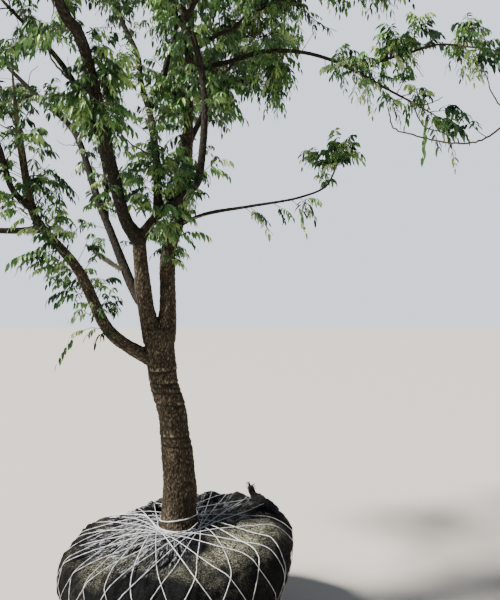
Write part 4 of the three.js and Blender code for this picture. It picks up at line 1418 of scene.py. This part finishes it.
# Gathered end of the net
# The free end of the net, twisted together and tied off at the back of the rim. It stands up as a
# frayed spike, and its gathered folds run down along the shoulder to the right.
SPIKE_FOOT = np.array((0.372, 0.286, 0.530))
SPIKE_NECK = np.array((0.370, 0.287, 0.598))
SPIKE_TIP = np.array((0.356, 0.292, 0.636))
SKIRT_END = np.array((0.474, 0.168, 0.540))
SPIKE_SIDES = 40
SWAY, SWAY_LENGTH = 3.0, 0.05
CRUMPLE_ROUND, CRUMPLE_LENGTH, CRUMPLE_DEPTH = 2.2, 0.014, 0.18
SHREDS = 34
SHRED_FROM, SHRED_RISE, SHRED_REACH = (0.3, 1.0), (0.0, 1.6), (0.016, 0.034)
SHRED_FLAT, SHRED_VARIES = (0.0016, 0.0003), (0.7, 1.4)
# The net's colours made lighter for the gathered end: painted light, so its ribs show in the trunk's shadow.
lightened_gathered_colors = ((0.008, 0.0085, 0.009), (0.075, 0.077, 0.080), *net_colors[2:])
gathered_finish = look_material(
    "gathered_net", net_group, lightened_gathered_colors, roughness=0.75, specular=0.2, **NET_BUMP
)


def bundled(knots, girths, ribs, depth, step, seed):
    """A bundle of net with ribs: so many long ones round it, and cross ribs for each metre along it."""
    line, run = smooth_line([np.array(knot) for knot in knots], step)
    radius = np.interp(run / run[-1], np.linspace(0, 1, len(girths)), girths) / 2
    turns = np.linspace(0, 2 * math.pi, SPIKE_SIDES, endpoint=False)
    long_ribs, cross_ribs = ribs
    sway = SWAY * lumps(np.column_stack([run / SWAY_LENGTH, run * 0, run * 0]), seed)[:, None]
    wave = np.sin(turns[None] * long_ribs + run[:, None] * cross_ribs * 2 * math.pi + sway)
    circle = CRUMPLE_ROUND * np.cos(turns)[None], CRUMPLE_ROUND * np.sin(turns)[None]
    shell = np.broadcast_arrays(*circle, run[:, None] / CRUMPLE_LENGTH)
    crumple = lumps(np.stack(shell, -1).reshape(-1, 3), seed + 1).reshape(len(line), SPIKE_SIDES)
    return tube(line, radius[:, None] * (1 + depth * wave + CRUMPLE_DEPTH * crumple), SPIKE_SIDES)


tuft_parts = [
    bundled(
        (SPIKE_FOOT + (0.046, -0.016, -0.03), SPIKE_FOOT + (0.026, -0.010, 0.03), SPIKE_NECK, SPIKE_TIP),
        (0.110, 0.106, 0.096, 0.074, 0.046, 0.030, 0.032, 0.024), (9, 0), 0.15, 0.003, 71,
    ),
    bundled(
        (
            SPIKE_FOOT + (0.01, 0.03, -0.02), SPIKE_FOOT + (0.028, 0.0, 0.006),
            SPIKE_FOOT + (0.048, -0.03, 0.010), (SPIKE_FOOT + SKIRT_END) / 2 + (0.022, 0, 0.004),
            SKIRT_END, SKIRT_END + (0.02, -0.05, -0.05),
        ),
        (0.040, 0.070, 0.080, 0.070, 0.056, 0.030), (1, 75), 0.10, 0.003, 75,
    ),
]
for _ in range(SHREDS):
    turn = lash.uniform(0, 2 * math.pi)
    foot = SPIKE_NECK + (SPIKE_TIP - SPIKE_NECK) * lash.uniform(*SHRED_FROM)
    lean = np.array((math.cos(turn), math.sin(turn), lash.uniform(*SHRED_RISE)))
    reach = lash.uniform(*SHRED_REACH)
    tip = foot + unit(lean) * reach
    bent = tip + unit(lean * (1, 1, 0) + (0, 0, -0.4)) * reach * 0.4
    strip = smooth_line([foot, (foot + tip) / 2 + lash.normal(0, 0.002, 3), tip, bent], 0.004)[0]
    flat = np.tile(SHRED_FLAT, (len(strip), 2)) * lash.uniform(*SHRED_VARIES)
    tuft_parts.append(tube(strip, flat, 4, twist=0.15))
tuft = joined_mesh("net_tuft", tuft_parts)
shade_smooth(tuft)
tuft.data.materials.append(gathered_finish)
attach(tuft, "root")
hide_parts("net_knot")

# Floor and light
# A plain pale floor, a pale sky all round, and a broad soft light from the upper left.
FLOOR_SIZE = 160
FLOOR_COLOR, FLOOR_ROUGHNESS = (0.52, 0.50, 0.47), 0.9
SKY_COLOR = (0.82, 0.88, 1.0, 1)
SKY_SEEN, SKY_LIGHT = 1.5, 0.31
KEY_TURN = (12, -43, 0)
KEY_POWER, KEY_WIDTH, KEY_COLOR = 12, 9, (1.0, 0.95, 0.86)
bpy.ops.mesh.primitive_plane_add(size=FLOOR_SIZE, location=(0, 0, 0))
floor = bpy.context.object
floor.name = "floor"
floor.data.materials.append(new_material("floor", FLOOR_COLOR, FLOOR_ROUGHNESS)[0])
world = bpy.data.worlds.new("sky")
bpy.context.scene.world = world
world.use_nodes = True
sky = world.node_tree.nodes["Background"]
sky.inputs["Color"].default_value = SKY_COLOR
seen = add_node(world.node_tree, "ShaderNodeLightPath").outputs["Is Camera Ray"]
levels = {"Value": seen, "To Min": SKY_LIGHT, "To Max": SKY_SEEN}
strength = add_node(world.node_tree, "ShaderNodeMapRange", levels)
world.node_tree.links.new(strength.outputs["Result"], sky.inputs["Strength"])
bpy.ops.object.light_add(type="SUN", rotation=[math.radians(angle) for angle in KEY_TURN])
key = bpy.context.object
key.data.energy = KEY_POWER
key.data.angle = math.radians(KEY_WIDTH)
key.data.color = KEY_COLOR
